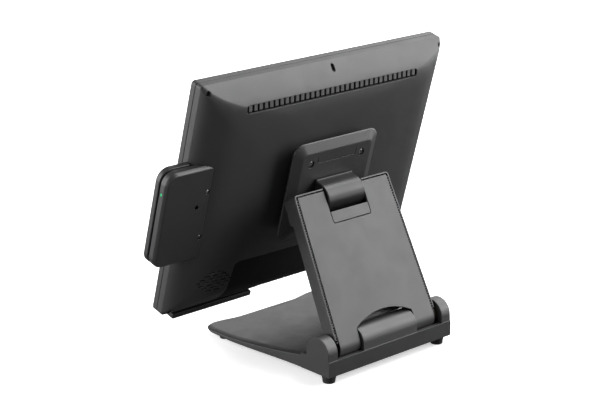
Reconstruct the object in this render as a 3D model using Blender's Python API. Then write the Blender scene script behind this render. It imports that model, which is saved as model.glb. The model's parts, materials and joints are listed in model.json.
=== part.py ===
"""Point-of-sale touchscreen terminal: a 15-inch 4:3 screen on a two-hinge stand.

World frame: X to the user's right, Y towards the rear, Z up, metres.
The origin is on the floor under the middle of the whole object.
Sizes below are in millimetres, and the mesh helpers turn them into metres.

Three local frames are used, each an empty:
  stand   x across, y rearwards, z up, its origin under the base's rear wall
  arm     x across, y out of the rear cover, z up the arm, on the lower hinge axis
  case    x across, y from the glass rearwards, z up the screen, at its front lower edge
"""

import math

import bmesh
import bpy
from mathutils import Matrix

MM = 0.001
GAP = 0.3

# Place of the stand in the world
STAND_X = -19.2
STAND_Y = 105.8

# Stand and hinges
BASE_WIDTH = 187.4
BASE_LENGTH = 211.5
LOWER_AXIS = (-18.2, 34.0)
ARM_LEAN = 26.3
UPPER_AXIS = (-1.3, 157.6)
SCREEN_LEAN = 15.6

# Screen case
CASE_WIDTH = 355.0
CASE_HEIGHT = 281.0
CASE_CORNER = 4.0
CORNER_GROWTH = 0.3
SEAM_DEPTH = 7.2
SHELL_WALL = 2.5
AXIS_IN_CASE = (69.3, 142.0)
# The rear shell's contour lines: distance inside its side edges, inside its upper and lower edges, depth
CROWN = ((0, 0, 15.3), (2.4, 3, 19.2), (5.5, 6.4, 22.9), (9.5, 10, 26.2), (15, 14, 29.4), (22, 18, 32.3),
         (30, 22.5, 35.0), (40, 27, 36.8), (52, 31, 38.0), (72, 42, 39.6), (90, 58, 40.5), (108, 78, 41))


# ---------------------------------------------------------------- materials

def finish(name, colour, roughness, metallic=0.0):
    """A plain Principled material."""
    material = bpy.data.materials.new(name)
    material.use_nodes = True
    shader = material.node_tree.nodes["Principled BSDF"]
    shader.inputs["Base Color"].default_value = (*colour, 1.0)
    shader.inputs["Roughness"].default_value = roughness
    shader.inputs["Metallic"].default_value = metallic
    material.diffuse_color = (*colour, 1.0)
    return material


# ---------------------------------------------------------------- outlines

def circle(radius, centre=(0.0, 0.0), steps=32):
    """Points round a circle, anticlockwise."""
    return arc(radius, 0, 360 - 360 / steps, centre, steps - 1)


def arc(radius, start, end, centre=(0.0, 0.0), steps=8):
    """Points along an arc between two angles in degrees."""
    points = []
    for step in range(steps + 1):
        angle = math.radians(start + (end - start) * step / steps)
        points.append((centre[0] + radius * math.cos(angle), centre[1] + radius * math.sin(angle)))
    return points


def rounded_box(left, right, low, high, radius, steps=4):
    """An anticlockwise rectangle with round corners."""
    corners = ((right, low, -90), (right, high, 0), (left, high, 90), (left, low, 180))
    middle = ((left + right) / 2, (low + high) / 2)
    points = []
    for x, y, start in corners:
        centre = (x - math.copysign(radius, x - middle[0]), y - math.copysign(radius, y - middle[1]))
        points += arc(radius, start, start + 90, centre, steps)
    return points


def box_outline(left, right, low, high):
    """An anticlockwise rectangle."""
    return [(left, low), (right, low), (right, high), (left, high)]


def mirrored(points):
    """The same outline on the other side of x = 0, anticlockwise again."""
    return [(-x, y) for x, y in reversed(points)]


# ---------------------------------------------------------------- solids

def on_axis(axis, a, b, along):
    """A point in millimetres from its two outline values and its place along the axis."""
    return {"X": (along, a, b), "Y": (a, along, b), "Z": (a, b, along)}[axis]


def as_piece(name, work, material, parent):
    """The closed mesh under construction as a named object, its faces turned outwards."""
    bmesh.ops.recalc_face_normals(work, faces=work.faces)
    if work.calc_volume(signed=True) < 0:
        bmesh.ops.reverse_faces(work, faces=work.faces)
    mesh = bpy.data.meshes.new(name)
    work.to_mesh(mesh)
    work.free()
    mesh.materials.append(material)
    mesh.shade_smooth()
    mesh.set_sharp_from_angle(angle=math.radians(35))
    piece = bpy.data.objects.new(name, mesh)
    bpy.context.scene.collection.objects.link(piece)
    piece.parent = parent
    return piece


def loft(name, rings, material, parent, hollow=False):
    """A closed solid through rings of equal length; a hollow one joins its last ring to its first."""
    work = bmesh.new()
    levels = [[work.verts.new([value * MM for value in point]) for point in ring] for ring in rings]
    following = levels[1:] + levels[:1] if hollow else levels[1:]
    for lower, upper in zip(levels, following):
        for i in range(len(lower)):
            j = (i + 1) % len(lower)
            work.faces.new((lower[i], lower[j], upper[j], upper[i]))
    if not hollow:
        caps = [work.faces.new(levels[0][::-1]), work.faces.new(levels[-1])]
        bmesh.ops.triangulate(work, faces=caps)
    return as_piece(name, work, material, parent)


def prism(name, outline, low, high, axis, material, parent):
    """An outline pushed along an axis from low to high."""
    rings = [[on_axis(axis, a, b, along) for a, b in outline] for along in (low, high)]
    return loft(name, rings, material, parent)


def block(name, x, y, z, material, parent):
    """A plain box from three (low, high) pairs."""
    return prism(name, box_outline(*x, *y), *z, "Z", material, parent)


def turned(name, profile, centre, axis, material, parent, steps=24):
    """A turned solid from (radius, along) pairs, about an axis through a centre."""
    rings = [[on_axis(axis, a, b, along) for a, b in circle(radius, centre, steps)]
             for radius, along in profile]
    return loft(name, rings, material, parent)


def tube(name, outer, inner, centre, low, high, axis, material, parent, steps=36):
    """A straight tube about an axis through a centre."""
    profile = ((outer, low), (outer, high), (inner, high), (inner, low))
    rings = [[on_axis(axis, a, b, along) for a, b in circle(radius, centre, steps)]
             for radius, along in profile]
    return loft(name, rings, material, parent, hollow=True)


def combine(target, tool, operation):
    """Leaves a Boolean on the target, and hides its tool."""
    modifier = target.modifiers.new(tool.name, "BOOLEAN")
    modifier.operation = operation
    modifier.solver = "EXACT"
    modifier.object = tool
    tool.hide_render = True
    tool.display_type = "WIRE"


def cut(target, *tools):
    for tool in tools:
        combine(target, tool, "DIFFERENCE")


def join(target, *tools):
    for tool in tools:
        combine(target, tool, "UNION")


def keep_inside(target, *tools):
    for tool in tools:
        combine(target, tool, "INTERSECT")


def frame_at(name, place, turn_x, parent):
    """An empty at a place in millimetres, turned about X in degrees."""
    empty = bpy.data.objects.new(name, None)
    bpy.context.scene.collection.objects.link(empty)
    empty.parent = parent
    turn = Matrix.Rotation(math.radians(turn_x), 4, "X")
    empty.matrix_local = Matrix.Translation([value * MM for value in place]) @ turn
    return empty


# ---------------------------------------------------------------- base

TOWER_INNER = 79.8
TOWER_RADIUS = 17.2
HUMP_HALF = 40.8
HUMP_RADIUS = 16.4
TROUGH_RADIUS = 14.8
REAR_LIP = 27.2
UNDERSIDE = 9.9
SHAFT_RADIUS = 4.0
SHAFT_HALF = 88.0
TONGUE_STATIONS = (0.0, 0.06, 0.2, 0.36, 0.52, 0.68, 0.8, 0.9, 0.95, 0.98, 0.993, 1.0)
TONGUE_START = -34.0
FRONT_HOLLOW = 15.2


def smooth_step(value):
    """0 to 1 with level ends."""
    value = min(max(value, 0.0), 1.0)
    return value * value * (3 - 2 * value)


def tongue_edges(share):
    """Half-width, lower edge and crease of the tongue, from its root (0) to its tip (1)."""
    corner = max(0.0, share - 0.9) / 0.1
    half = BASE_WIDTH / 2 - 2.5 * max(0.0, share - 0.7) / 0.3
    half -= 9.0 * (1 - math.sqrt(max(0.0, 1 - corner ** 2)))
    low = 5.0 + (UNDERSIDE - 5.0) * (1 - smooth_step(share / 0.8)) + 1.2 * smooth_step(corner)
    crease = 6.8 + 18.6 * (1 - share) ** 1.75
    return half, low, crease


def tongue_ring(share, inset):
    """A cross-section of the tongue, pulled inwards by the inset."""
    half, low, crease = tongue_edges(share)
    half -= inset
    top = crease + 2.4 - inset
    crease = min(crease, top - 0.4) - 0.4 * inset
    low += 0.0 if inset == 0 else -20.0
    y = TONGUE_START - (BASE_LENGTH + TONGUE_START - inset) * share
    outline = [(half, low), (half, crease), (half - 1.6, crease + 1.5), (half - 6.5, top)]
    outline += [(half * part, top + 0.5 * (1 - part ** 2)) for part in (0.75, 0.5, 0.25)]
    outline = outline + mirrored(outline)
    hollow = FRONT_HOLLOW * smooth_step((share - 0.45) / 0.55)
    return [(x, y + hollow * (1 + math.cos(math.pi * x / half)) / 2, z) for x, z in outline]


def tongue(name, inset, material, parent):
    return loft(name, [tongue_ring(share, inset) for share in TONGUE_STATIONS], material, parent)


def upright(name, left, right, radius, inset, material, parent):
    """A round-topped wall about the lower hinge axis, standing on the base's rear."""
    y, z = LOWER_AXIS
    foot = UNDERSIDE if inset == 0 else UNDERSIDE - 20
    outline = [(y - radius + inset, foot), (-inset, foot)]
    outline += arc(radius - inset, 0, 180, (y, z), 16)
    return prism(name, outline, left, right, "X", material, parent)


def add_base_shell(stand, plastic):
    shell = tongue("base_shell", 0.0, plastic, stand)
    half = BASE_WIDTH / 2
    rear = [(-44, UNDERSIDE), (0, UNDERSIDE), (-1.4, REAR_LIP), (-44, REAR_LIP)]
    join(shell, prism("base_rear_block", rear, -half, half, "X", plastic, stand))
    walls = ((-half, -TOWER_INNER, TOWER_RADIUS), (-HUMP_HALF, HUMP_HALF, HUMP_RADIUS),
             (TOWER_INNER, half, TOWER_RADIUS))
    for number, (left, right, radius) in enumerate(walls):
        join(shell, upright(f"base_upright_{number}", left, right, radius, 0, plastic, stand))
    for side, sign in (("left", -1), ("right", 1)):
        low, high = sorted((sign * HUMP_HALF, sign * TOWER_INNER))
        trough = circle(TROUGH_RADIUS, LOWER_AXIS, 40)
        cut(shell, prism(f"base_trough_{side}", trough, low, high, "X", plastic, stand))
        hollow = box_outline(-40, -5, -10, 17)
        low, high = sorted((sign * 4, sign * (half - 2.5)))
        cut(shell, prism(f"base_rear_hollow_{side}", hollow, low, high, "X", plastic, stand))
    cut(shell, tongue("base_hollow", 2.5, plastic, stand))
    bore = circle(SHAFT_RADIUS + GAP, LOWER_AXIS, 24)
    cut(shell, prism("base_shaft_bore", bore, -SHAFT_HALF - GAP, SHAFT_HALF + GAP, "X", plastic, stand))


def add_bottom_cover(stand, plastic):
    """The cover under the base follows the lower edge of the shell."""
    rings = []
    thick = 1.4
    for share in TONGUE_STATIONS[1:-5]:
        half, low, _ = tongue_edges(share)
        half -= 3.2
        y = TONGUE_START - (BASE_LENGTH + TONGUE_START - 3) * share
        low += 0.3
        rings.append([(-half, y, low), (half, y, low), (half, y, low + thick), (-half, y, low + thick)])
    loft("base_bottom_cover", rings, plastic, stand)


def add_feet(stand, rubber):
    spots = {"rear_left": (-83.1, -11.2, UNDERSIDE, 7.8), "rear_right": (83.1, -11.2, UNDERSIDE, 7.8),
             "front_left": (-82.5, -184.0, 5.3, 6.5), "front_right": (82.5, -184.0, 5.3, 6.5)}
    for place, (x, y, top, radius) in spots.items():
        profile = ((radius - 1.6, 0), (radius - 0.9, 0.6), (radius, top - GAP))
        turned(f"foot_{place}", profile, (x, y), "Z", rubber, stand)


def add_lower_hinge(stand, steel, brass):
    ends = ((SHAFT_RADIUS - 0.6, -SHAFT_HALF), (SHAFT_RADIUS, -SHAFT_HALF + 0.6),
            (SHAFT_RADIUS, SHAFT_HALF - 0.6), (SHAFT_RADIUS - 0.6, SHAFT_HALF))
    turned("lower_hinge_shaft", ends, LOWER_AXIS, "X", steel, stand)
    for side, sign in (("left", -1), ("right", 1)):
        low, high = sorted((sign * 77.6, sign * 79.5))
        tube(f"lower_hinge_washer_{side}", 9.0, SHAFT_RADIUS + GAP, LOWER_AXIS, low, high, "X", brass,
             stand, 28)


def add_base_weight(stand, steel):
    """A steel plate in the tongue keeps the terminal from tipping."""
    plate = prism("base_weight", rounded_box(-76, 76, -78, -46, 6), 12.6, 17.4, "Z", steel, stand)
    window = rounded_box(-30, 30, -70, -54, 4)
    cut(plate, prism("base_weight_window", window, 0, 20, "Z", steel, stand))


def screw(name, x, y, top, axis, radius, material, parent):
    """A pan-head screw with a cross recess, its head's top at the given place along the axis."""
    profile = ((radius * 0.5, top - 7), (radius * 0.5, top - 1.8), (radius, top - 1.8),
               (radius, top - 0.5), (radius * 0.8, top))
    piece = turned(name, profile, (x, y), axis, material, parent, 16)
    reach, arm = radius * 0.55, radius * 0.16
    for label, (a, b) in (("across", (reach, arm)), ("up", (arm, reach))):
        outline = box_outline(x - a, x + a, y - b, y + b)
        cut(piece, prism(f"{name}_{label}", outline, top - 0.9, top + 1, axis, material, parent))


def build_base(stand):
    plastic = finish("stand_plastic", (0.035, 0.035, 0.037), 0.5)
    rubber = finish("foot_rubber", (0.012, 0.012, 0.013), 0.8)
    steel = finish("shaft_steel", (0.55, 0.55, 0.56), 0.35, 1.0)
    brass = finish("washer_brass", (0.6, 0.45, 0.2), 0.4, 1.0)
    plate = finish("weight_steel", (0.3, 0.31, 0.32), 0.5, 1.0)
    add_base_shell(stand, plastic)
    add_bottom_cover(stand, finish("bottom_cover_plastic", (0.03, 0.03, 0.032), 0.6))
    add_feet(stand, rubber)
    add_lower_hinge(stand, steel, brass)
    add_base_weight(stand, plate)


# ---------------------------------------------------------------- arm

ARM_TOP = 166.6
ARM_HALF_TOP = 70.8
ARM_HALF_LOW = 76.6
COVER_FACE = 13.4
COVER_THICK = 2.4
FRAME_LIP = 12.3
ARM_FRONT = -2.0
HEAD_FRONT = -6.4
HEAD_LOW = 137.0
LIP_WIDTH = 3.4
NOTCH_HALF = 28.7
NOTCH_LOW = 140.7
PANEL_LOW = 126.1
ARCH_HALF = 41.8
ARCH_SIDE = 12.4
ARCH_CROWN = 23.2
SWEEP_HALF = 42.4
FRAME_LOW = 6.0
KNUCKLE_HALF = 27.0
UPPER_SHAFT_RADIUS = 5.0
UPPER_SHAFT_HALF = 52.0


def arm_half(height):
    """Half the arm's width at a height above the lower axis."""
    return ARM_HALF_LOW - (ARM_HALF_LOW - ARM_HALF_TOP) * height / ARM_TOP


def arm_outline(low, inset, corner=4.0):
    """The arm seen from behind: tapered, with round top corners."""
    top = ARM_TOP - inset
    centre = (arm_half(ARM_TOP) - inset - corner, top - corner)
    right = [(arm_half(low) - inset, low)] + arc(corner, 0, 90, centre, 5)
    return right + mirrored(right)


def arch_outline(widen):
    """The round-topped opening for the hump, from below the arm up to its crown."""
    half = ARCH_HALF + widen
    rise = ARCH_CROWN - ARCH_SIDE
    radius = (half ** 2 + rise ** 2) / (2 * rise)
    swing = math.degrees(math.asin(half / radius))
    top = arc(radius, 90 - swing, 90 + swing, (0, ARCH_CROWN + widen - radius), 16)
    return [(-half, -40), (half, -40)] + top


def hinge_side(sign, inner, outer):
    return sorted((sign * inner, sign * outer))


def add_arm_frame(arm, plastic):
    """A tray open to the rear, with a thick head and two barrels round the lower shaft."""
    frame = prism("arm_frame", arm_outline(FRAME_LOW, 0), HEAD_FRONT, FRAME_LIP, "Y", plastic, arm)
    below_head = box_outline(-90, 90, -20, HEAD_LOW)
    cut(frame, prism("arm_below_head", below_head, -30, ARM_FRONT, "Y", plastic, arm))
    barrel_radius = COVER_FACE - COVER_THICK - 2 * GAP
    for side, sign in (("left", -1), ("right", 1)):
        low, high = hinge_side(sign, ARCH_HALF - 3, ARM_HALF_LOW + 0.4)
        join(frame, tube(f"arm_barrel_{side}", barrel_radius, SHAFT_RADIUS + GAP, (0, 0), low, high,
                         "X", plastic, arm))
    pocket = arm_outline(16, LIP_WIDTH, 2.0)
    cut(frame, prism("arm_pocket", pocket, ARM_FRONT + 2.5, 30, "Y", plastic, arm))
    seat = arm_outline(-30, LIP_WIDTH - 0.4, 2.0)
    cut(frame, prism("arm_cover_seat", seat, COVER_FACE - COVER_THICK - GAP, 30, "Y", plastic, arm))
    notch = box_outline(-NOTCH_HALF, NOTCH_HALF, NOTCH_LOW - 2, ARM_TOP + 20)
    cut(frame, prism("arm_notch", notch, -30, 30, "Y", plastic, arm))
    cut(frame, prism("arm_arch", arch_outline(0.0), -30, 30, "Y", plastic, arm))
    sweep = circle(HUMP_RADIUS + 1.0, (0, 0), 40)
    cut(frame, prism("arm_hump_sweep", sweep, -SWEEP_HALF, SWEEP_HALF, "X", plastic, arm))
    clear = circle(UPPER_SHAFT_RADIUS + GAP, UPPER_AXIS, 24)
    reach = UPPER_SHAFT_HALF + GAP
    cut(frame, prism("arm_upper_bore", clear, -reach, reach, "X", plastic, arm))
    swing = circle(20.0, UPPER_AXIS, 40)
    cut(frame, prism("arm_knuckle_swing", swing, -NOTCH_HALF, NOTCH_HALF, "X", plastic, arm))


def cover_profile():
    """The rear cover from the side: flat, then round the barrels to their underside."""
    inner = COVER_FACE - COVER_THICK
    top = ARM_TOP - LIP_WIDTH - 0.4
    outside = arc(COVER_FACE, 0, -100, (0, 0), 12)
    inside = arc(inner, -100, 0, (0, 0), 12)
    return [(inner, top), (COVER_FACE, top)] + outside + inside


def add_arm_cover(arm, plastic):
    edge = LIP_WIDTH + 0.4
    rings = [[(sign * (arm_half(z) - edge), y, z) for y, z in cover_profile()] for sign in (-1, 1)]
    cover = loft("arm_rear_cover", rings, plastic, arm)
    notch = box_outline(-NOTCH_HALF, NOTCH_HALF, PANEL_LOW, ARM_TOP + 30)
    cut(cover, prism("arm_cover_notch", notch, -40, 40, "Y", plastic, arm))
    cut(cover, prism("arm_cover_arch", arch_outline(0.0), -40, 40, "Y", plastic, arm))
    sweep = circle(HUMP_RADIUS + 1.0, (0, 0), 40)
    cut(cover, prism("arm_cover_sweep", sweep, -SWEEP_HALF, SWEEP_HALF, "X", plastic, arm))
    panel = box_outline(-NOTCH_HALF + 0.4, NOTCH_HALF - 0.4, PANEL_LOW + 0.4, NOTCH_LOW - 1.6)
    low = COVER_FACE - COVER_THICK
    access = prism("hinge_access_panel", panel, low, COVER_FACE, "Y", plastic, arm)
    swing = circle(19.0, UPPER_AXIS, 40)
    cut(access, prism("panel_knuckle_swing", swing, -40, 40, "X", plastic, arm))


def add_arm_core(arm, steel, zinc):
    """The steel spine between the hinges, and the brackets that hold the upper shaft."""
    core = prism("arm_core", box_outline(-58, 58, 30, 118), 1.2, 3.6, "Y", steel, arm)
    window = rounded_box(-30, 30, 48, 104, 8)
    cut(core, prism("arm_core_window", window, -10, 20, "Y", steel, arm))
    for side, sign in (("left", -1), ("right", 1)):
        low, high = hinge_side(sign, 32.4, 35.4)
        plate = rounded_box(1.0, 10.4, NOTCH_LOW - 14, UPPER_AXIS[1] + 4, 2)
        bracket = prism(f"upper_hinge_bracket_{side}", plate, low, high, "X", zinc, arm)
        bore = circle(UPPER_SHAFT_RADIUS + GAP, UPPER_AXIS, 24)
        cut(bracket, prism(f"bracket_bore_{side}", bore, low - 1, high + 1, "X", zinc, arm))


def add_upper_shaft(arm, steel):
    radius, half = UPPER_SHAFT_RADIUS, UPPER_SHAFT_HALF
    profile = ((radius - 0.6, -half), (radius, -half + 0.6), (radius, half - 0.6), (radius - 0.6, half))
    turned("upper_hinge_shaft", profile, UPPER_AXIS, "X", steel, arm)


def build_arm(arm):
    frame_plastic = finish("arm_frame_plastic", (0.035, 0.035, 0.037), 0.45)
    cover_plastic = finish("arm_cover_plastic", (0.075, 0.075, 0.078), 0.5)
    steel = finish("core_steel", (0.3, 0.31, 0.32), 0.45, 1.0)
    zinc = finish("bracket_zinc", (0.5, 0.51, 0.53), 0.4, 1.0)
    add_arm_frame(arm, frame_plastic)
    add_arm_cover(arm, cover_plastic)
    add_arm_core(arm, steel, zinc)
    add_upper_shaft(arm, finish("upper_shaft_steel", (0.55, 0.55, 0.56), 0.35, 1.0))


# ---------------------------------------------------------------- screen

VIEW_HALF = 153.0
VIEW_LOW = 25.5
VIEW_HIGH = 255.5
BAY_HALF_TOP = 104.3
BAY_HALF_LOW = 111.5
BAY_TOP = 63.0
BAY_CORNER = 8.0
EXIT_HALF = 46.0
VENT_SLOTS = 34
VENT_PITCH = 7.33
VENT_LOW = 249.5
VENT_HIGH = 258.3
PLATE_HALF = 62.2
PLATE_LOW = 86.2
PLATE_HIGH = 206.4
PLATE_FACE = 58.8
PLATE_EDGE = 54.3
PLATE_BACK = 45.5
SCREW_PITCH = 75.0
SCREW_CENTRE = 144.2
CASE_SCREWS = (("top_left", -170.5, 274.1), ("top_right", 170.5, 274.1), ("low_left", -170.5, 6.9),
               ("low_right", 170.5, 6.9))
CASE_SCREW_TOP = 19.4
CASE_SCREW_RADIUS = 2.3
SCREW_WELL_RADIUS = 2.8
VENT_SLOT_WIDTH = 2.4
VENT_FRONT = 31.0
VENT_BACK = 32.8


def case_ring(side, end, depth):
    """The case's rounded rectangle, inside its side and end edges, at a depth behind the glass."""
    radius = CASE_CORNER + CORNER_GROWTH * max(side, 0.0)
    outline = rounded_box(-CASE_WIDTH / 2 + side, CASE_WIDTH / 2 - side, end, CASE_HEIGHT - end, radius, 5)
    return [(x, depth, z) for x, z in outline]


def split_bent_faces(volume):
    """Splits every face into triangles, so that none of them is bent."""
    work = bmesh.new()
    work.from_mesh(volume.data)
    bmesh.ops.triangulate(work, faces=work.faces[:])
    work.to_mesh(volume.data)
    work.free()


def crown(name, shrink, front, material, parent):
    """The rear shell's outer volume, moved inwards by shrink, from a front depth rearwards."""
    rings = [case_ring(shrink, shrink, front)]
    rings += [case_ring(side + shrink, end + shrink, depth - shrink) for side, end, depth in CROWN]
    volume = loft(name, rings[::-1], material, parent)
    split_bent_faces(volume)
    return volume


def bay_outline(widen):
    """The cable bay's cover, from below the case up to its round upper corners."""
    corner = BAY_CORNER + widen
    half_top, half_low = BAY_HALF_TOP + widen, BAY_HALF_LOW + widen
    right = [(half_low, -20)] + arc(corner, 5, 90, (half_top - corner, BAY_TOP + widen - corner), 5)
    return right + mirrored(right)


def add_rear_shell(case, plastic):
    shell = crown("rear_shell", 0.0, SEAM_DEPTH + GAP, plastic, case)
    cut(shell, crown("rear_shell_inside", SHELL_WALL, SEAM_DEPTH - 5, plastic, case))
    half = VENT_SLOTS * VENT_PITCH / 2 + 1.63
    vent = rounded_box(-half, half, VENT_LOW, VENT_HIGH, 1.37)
    cut(shell, prism("rear_shell_vent", vent, 20, 50, "Y", plastic, case))
    cut(shell, prism("rear_shell_bay", bay_outline(0.4), 24, 60, "Y", plastic, case))
    exit_slot = box_outline(-EXIT_HALF, EXIT_HALF, 9.5, 30)
    cut(shell, prism("rear_shell_exit", exit_slot, -20, 12, "Z", plastic, case))
    lock = rounded_box(-5.2, -1.2, 271.0, 278.0, 1.9)
    cut(shell, prism("rear_shell_lock", lock, 16.7, 40, "Y", plastic, case))
    button = rounded_box(8.2, 14.8, 32, 48, 2)
    cut(shell, prism("rear_shell_button_hole", button, -190, -160, "X", plastic, case))


def add_bay_cover(case, plastic):
    cover = crown("io_cover", 0.0, SEAM_DEPTH + GAP, plastic, case)
    keep_inside(cover, prism("io_cover_outline", bay_outline(0.0), 24.6, 60, "Y", plastic, case))
    cut(cover, crown("io_cover_inside", SHELL_WALL, SEAM_DEPTH - 5, plastic, case))


def add_bezel(case, plastic, glass):
    bezel = loft("front_bezel", [case_ring(0, 0, SEAM_DEPTH), case_ring(0, 0, 0.8), case_ring(0.8, 0.8, 0)],
                 plastic, case)
    view = rounded_box(-VIEW_HALF, VIEW_HALF, VIEW_LOW, VIEW_HIGH, 1)
    cut(bezel, prism("bezel_view", view, -5, 20, "Y", plastic, case))
    seat = rounded_box(-166, 166, 12.5, 268.5, 3)
    cut(bezel, prism("bezel_seat", seat, 2.6, 20, "Y", plastic, case))
    pane = rounded_box(-165.6, 165.6, 12.9, 268.1, 2.6)
    prism("touch_glass", pane, 2.9, 5.9, "Y", glass, case)


def add_display_stack(case):
    panel = finish("lcd_panel_metal", (0.4, 0.41, 0.43), 0.45, 1.0)
    sheet = finish("chassis_steel", (0.45, 0.46, 0.47), 0.4, 1.0)
    board = finish("board_green", (0.02, 0.12, 0.05), 0.5)
    fins = finish("heatsink_aluminium", (0.6, 0.61, 0.62), 0.4, 1.0)
    drive = finish("drive_aluminium", (0.5, 0.51, 0.53), 0.4, 1.0)
    prism("lcd_panel", rounded_box(-163, 163, 15, 266, 2), 6.3, 13.6, "Y", panel, case)
    chassis = prism("chassis_plate", rounded_box(-164, 164, 14, 267, 4), 14.0, 15.2, "Y", sheet, case)
    window = rounded_box(-60, 60, 90, 120, 4)
    cut(chassis, prism("chassis_window", window, 5, 25, "Y", sheet, case))
    block("mainboard", (-95, 75), (19.0, 20.6), (66, 216), board, case)
    add_heatsink(case, fins)
    prism("storage_drive", rounded_box(85, 154, 120, 220, 3), 17.5, 24.5, "Y", drive, case)


def add_heatsink(case, material):
    """A fanless cooler: a base with upright fins."""
    fin_count, pitch, thick = 9, 11.0, 2.0
    base, root, tip = 21.2, 24.0, 34.0
    half = fin_count * pitch / 2
    outline = [(-half, base), (half, base), (half, root)]
    for fin in reversed(range(fin_count)):
        middle = (fin + 0.5) * pitch - half
        near, far = middle + thick / 2, middle - thick / 2
        outline += [(near, root), (near, tip), (far, tip), (far, root)]
    outline.append((-half, root))
    prism("heatsink", outline, 125, 190, "Z", material, case)


def add_speakers(case):
    cone = finish("speaker_black", (0.02, 0.02, 0.02), 0.6)
    for side, sign in (("left", -1), ("right", 1)):
        low, high = hinge_side(sign, 107, 145)
        body = prism(f"speaker_{side}", rounded_box(low, high, 30, 60, 6), 19, 27.5, "Y", cone, case)
        dome = circle(10, ((low + high) / 2, 45), 20)
        join(body, prism(f"speaker_dome_{side}", dome, 25, 29.5, "Y", cone, case))


def add_ports(case):
    """The metal port bracket over the cable bay, with its sockets facing down."""
    steel = finish("port_bracket_steel", (0.5, 0.51, 0.53), 0.35, 1.0)
    shell = finish("socket_metal", (0.6, 0.6, 0.62), 0.3, 1.0)
    black = finish("socket_black", (0.015, 0.015, 0.016), 0.5)
    block("port_bracket", (-90, 90), (16.5, 32.4), (50.0, 51.0), steel, case)
    ports = {"lan_socket": (-70, -54, 12, shell), "usb_socket_stack": (-46, -32, 12.6, shell),
             "serial_socket": (-20, 11, 12, shell), "video_socket": (22, 38, 7, black),
             "power_socket": (52, 62, 10, black)}
    for name, (left, right, thick, material) in ports.items():
        body = block(name, (left, right), (18.0, 18.0 + thick), (36.0, 49.7), material, case)
        mouth = block(f"{name}_mouth", (left + 1.5, right - 1.5), (19.5, 16.5 + thick), (30.0, 44.0),
                      material, case)
        cut(body, mouth)


def filled(cells, column, row):
    return 0 <= column < len(cells) and 0 <= row < 2 and cells[column][row]


def add_vent(case, plastic):
    """A comb of slots in a sunken strip near the top edge: a spine above, and a tooth between slots."""
    half = VENT_SLOTS * VENT_PITCH / 2 + 1.0
    slot, near, far = VENT_SLOT_WIDTH, VENT_FRONT, VENT_BACK
    heights = (VENT_LOW + 0.4, VENT_HIGH - 1.6, VENT_HIGH - 0.4)
    stations = [-half]
    for number in range(VENT_SLOTS):
        middle = (number - (VENT_SLOTS - 1) / 2) * VENT_PITCH
        stations += [middle - slot / 2, middle + slot / 2]
    stations.append(half)
    cells = [(column % 2 == 0, True) for column in range(len(stations) - 1)]
    work = bmesh.new()
    points = {}

    def corner(column, row, depth):
        key = (column, row, depth)
        if key not in points:
            points[key] = work.verts.new((stations[column] * MM, depth * MM, heights[row] * MM))
        return points[key]

    def wall(first, second):
        work.faces.new((corner(*first, near), corner(*second, near), corner(*second, far), corner(*first, far)))

    for column in range(len(cells)):
        for row in range(2):
            if not filled(cells, column, row):
                continue
            ring = ((column, row), (column + 1, row), (column + 1, row + 1), (column, row + 1))
            for depth in (near, far):
                work.faces.new([corner(*place, depth) for place in ring])
            beside = ((column, row - 1), (column + 1, row), (column, row + 1), (column - 1, row))
            for number, neighbour in enumerate(beside):
                if not filled(cells, *neighbour):
                    wall(ring[number], ring[(number + 1) % 4])
    as_piece("vent_grille", work, plastic, case)


def plate_ring(inset, depth):
    outline = rounded_box(-PLATE_HALF + inset, PLATE_HALF - inset, PLATE_LOW + inset, PLATE_HIGH - inset,
                          max(13 - 0.6 * inset, 3), 5)
    return [(x, depth, z) for x, z in outline]


def add_mount_plate(case, plastic, spacer):
    rings = [plate_ring(7.5, PLATE_BACK), plate_ring(6.5, PLATE_BACK + 1), plate_ring(1.0, PLATE_EDGE - 2),
             plate_ring(0, PLATE_EDGE - 1.2), plate_ring(0, PLATE_EDGE), plate_ring(11.2, PLATE_FACE)]
    plate = loft("mount_plate", rings, plastic, case)
    label = rounded_box(-28, 28, 181.5, 190.5, 1.5)
    cut(plate, prism("plate_label_recess", label, PLATE_FACE - 0.5, 80, "Y", plastic, case))
    boss = rounded_box(-48, 48, 98, 192, 8)
    prism("mount_spacer", boss, 41.3, PLATE_BACK - GAP, "Y", spacer, case)
    steel = finish("plate_screw_steel", (0.6, 0.6, 0.62), 0.3, 1.0)
    for name, x, z in (("top_left", -1, 1), ("top_right", 1, 1), ("low_left", -1, -1), ("low_right", 1, -1)):
        place = (x * SCREW_PITCH / 2, SCREW_CENTRE + z * SCREW_PITCH / 2)
        hole = circle(4.0, place, 20)
        cut(plate, prism(f"plate_hole_{name}", hole, 51, 80, "Y", plastic, case))
        screw(f"plate_screw_{name}", *place, PLATE_FACE - 0.4, "Y", 3.4, steel, case)


def add_knuckle(case, plastic):
    """The block that leaves the plate level and turns down over the upper shaft."""
    y, z = AXIS_IN_CASE
    radius = 18.0
    rear = arc(radius, 90, -110, (y, z), 20)
    outline = [(PLATE_FACE + GAP, z + radius)] + rear + [(PLATE_FACE + GAP, z - 14)]
    knuckle = prism("hinge_knuckle", outline[::-1], -KNUCKLE_HALF, KNUCKLE_HALF, "X", plastic, case)
    bore = circle(UPPER_SHAFT_RADIUS + GAP, (y, z), 24)
    cut(knuckle, prism("knuckle_bore", bore, -40, 40, "X", plastic, case))


def add_bottom_rails(case, plastic):
    """Two low rails under the case, one each side of the cable exit."""
    for side, sign in (("left", -1), ("right", 1)):
        low, high = hinge_side(sign, 49.5, 163)
        outline = rounded_box(low, high, -6.6, -GAP, 1.5, 3)
        prism(f"bottom_rail_{side}", outline, 9, 19.5, "Y", plastic, case)


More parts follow.
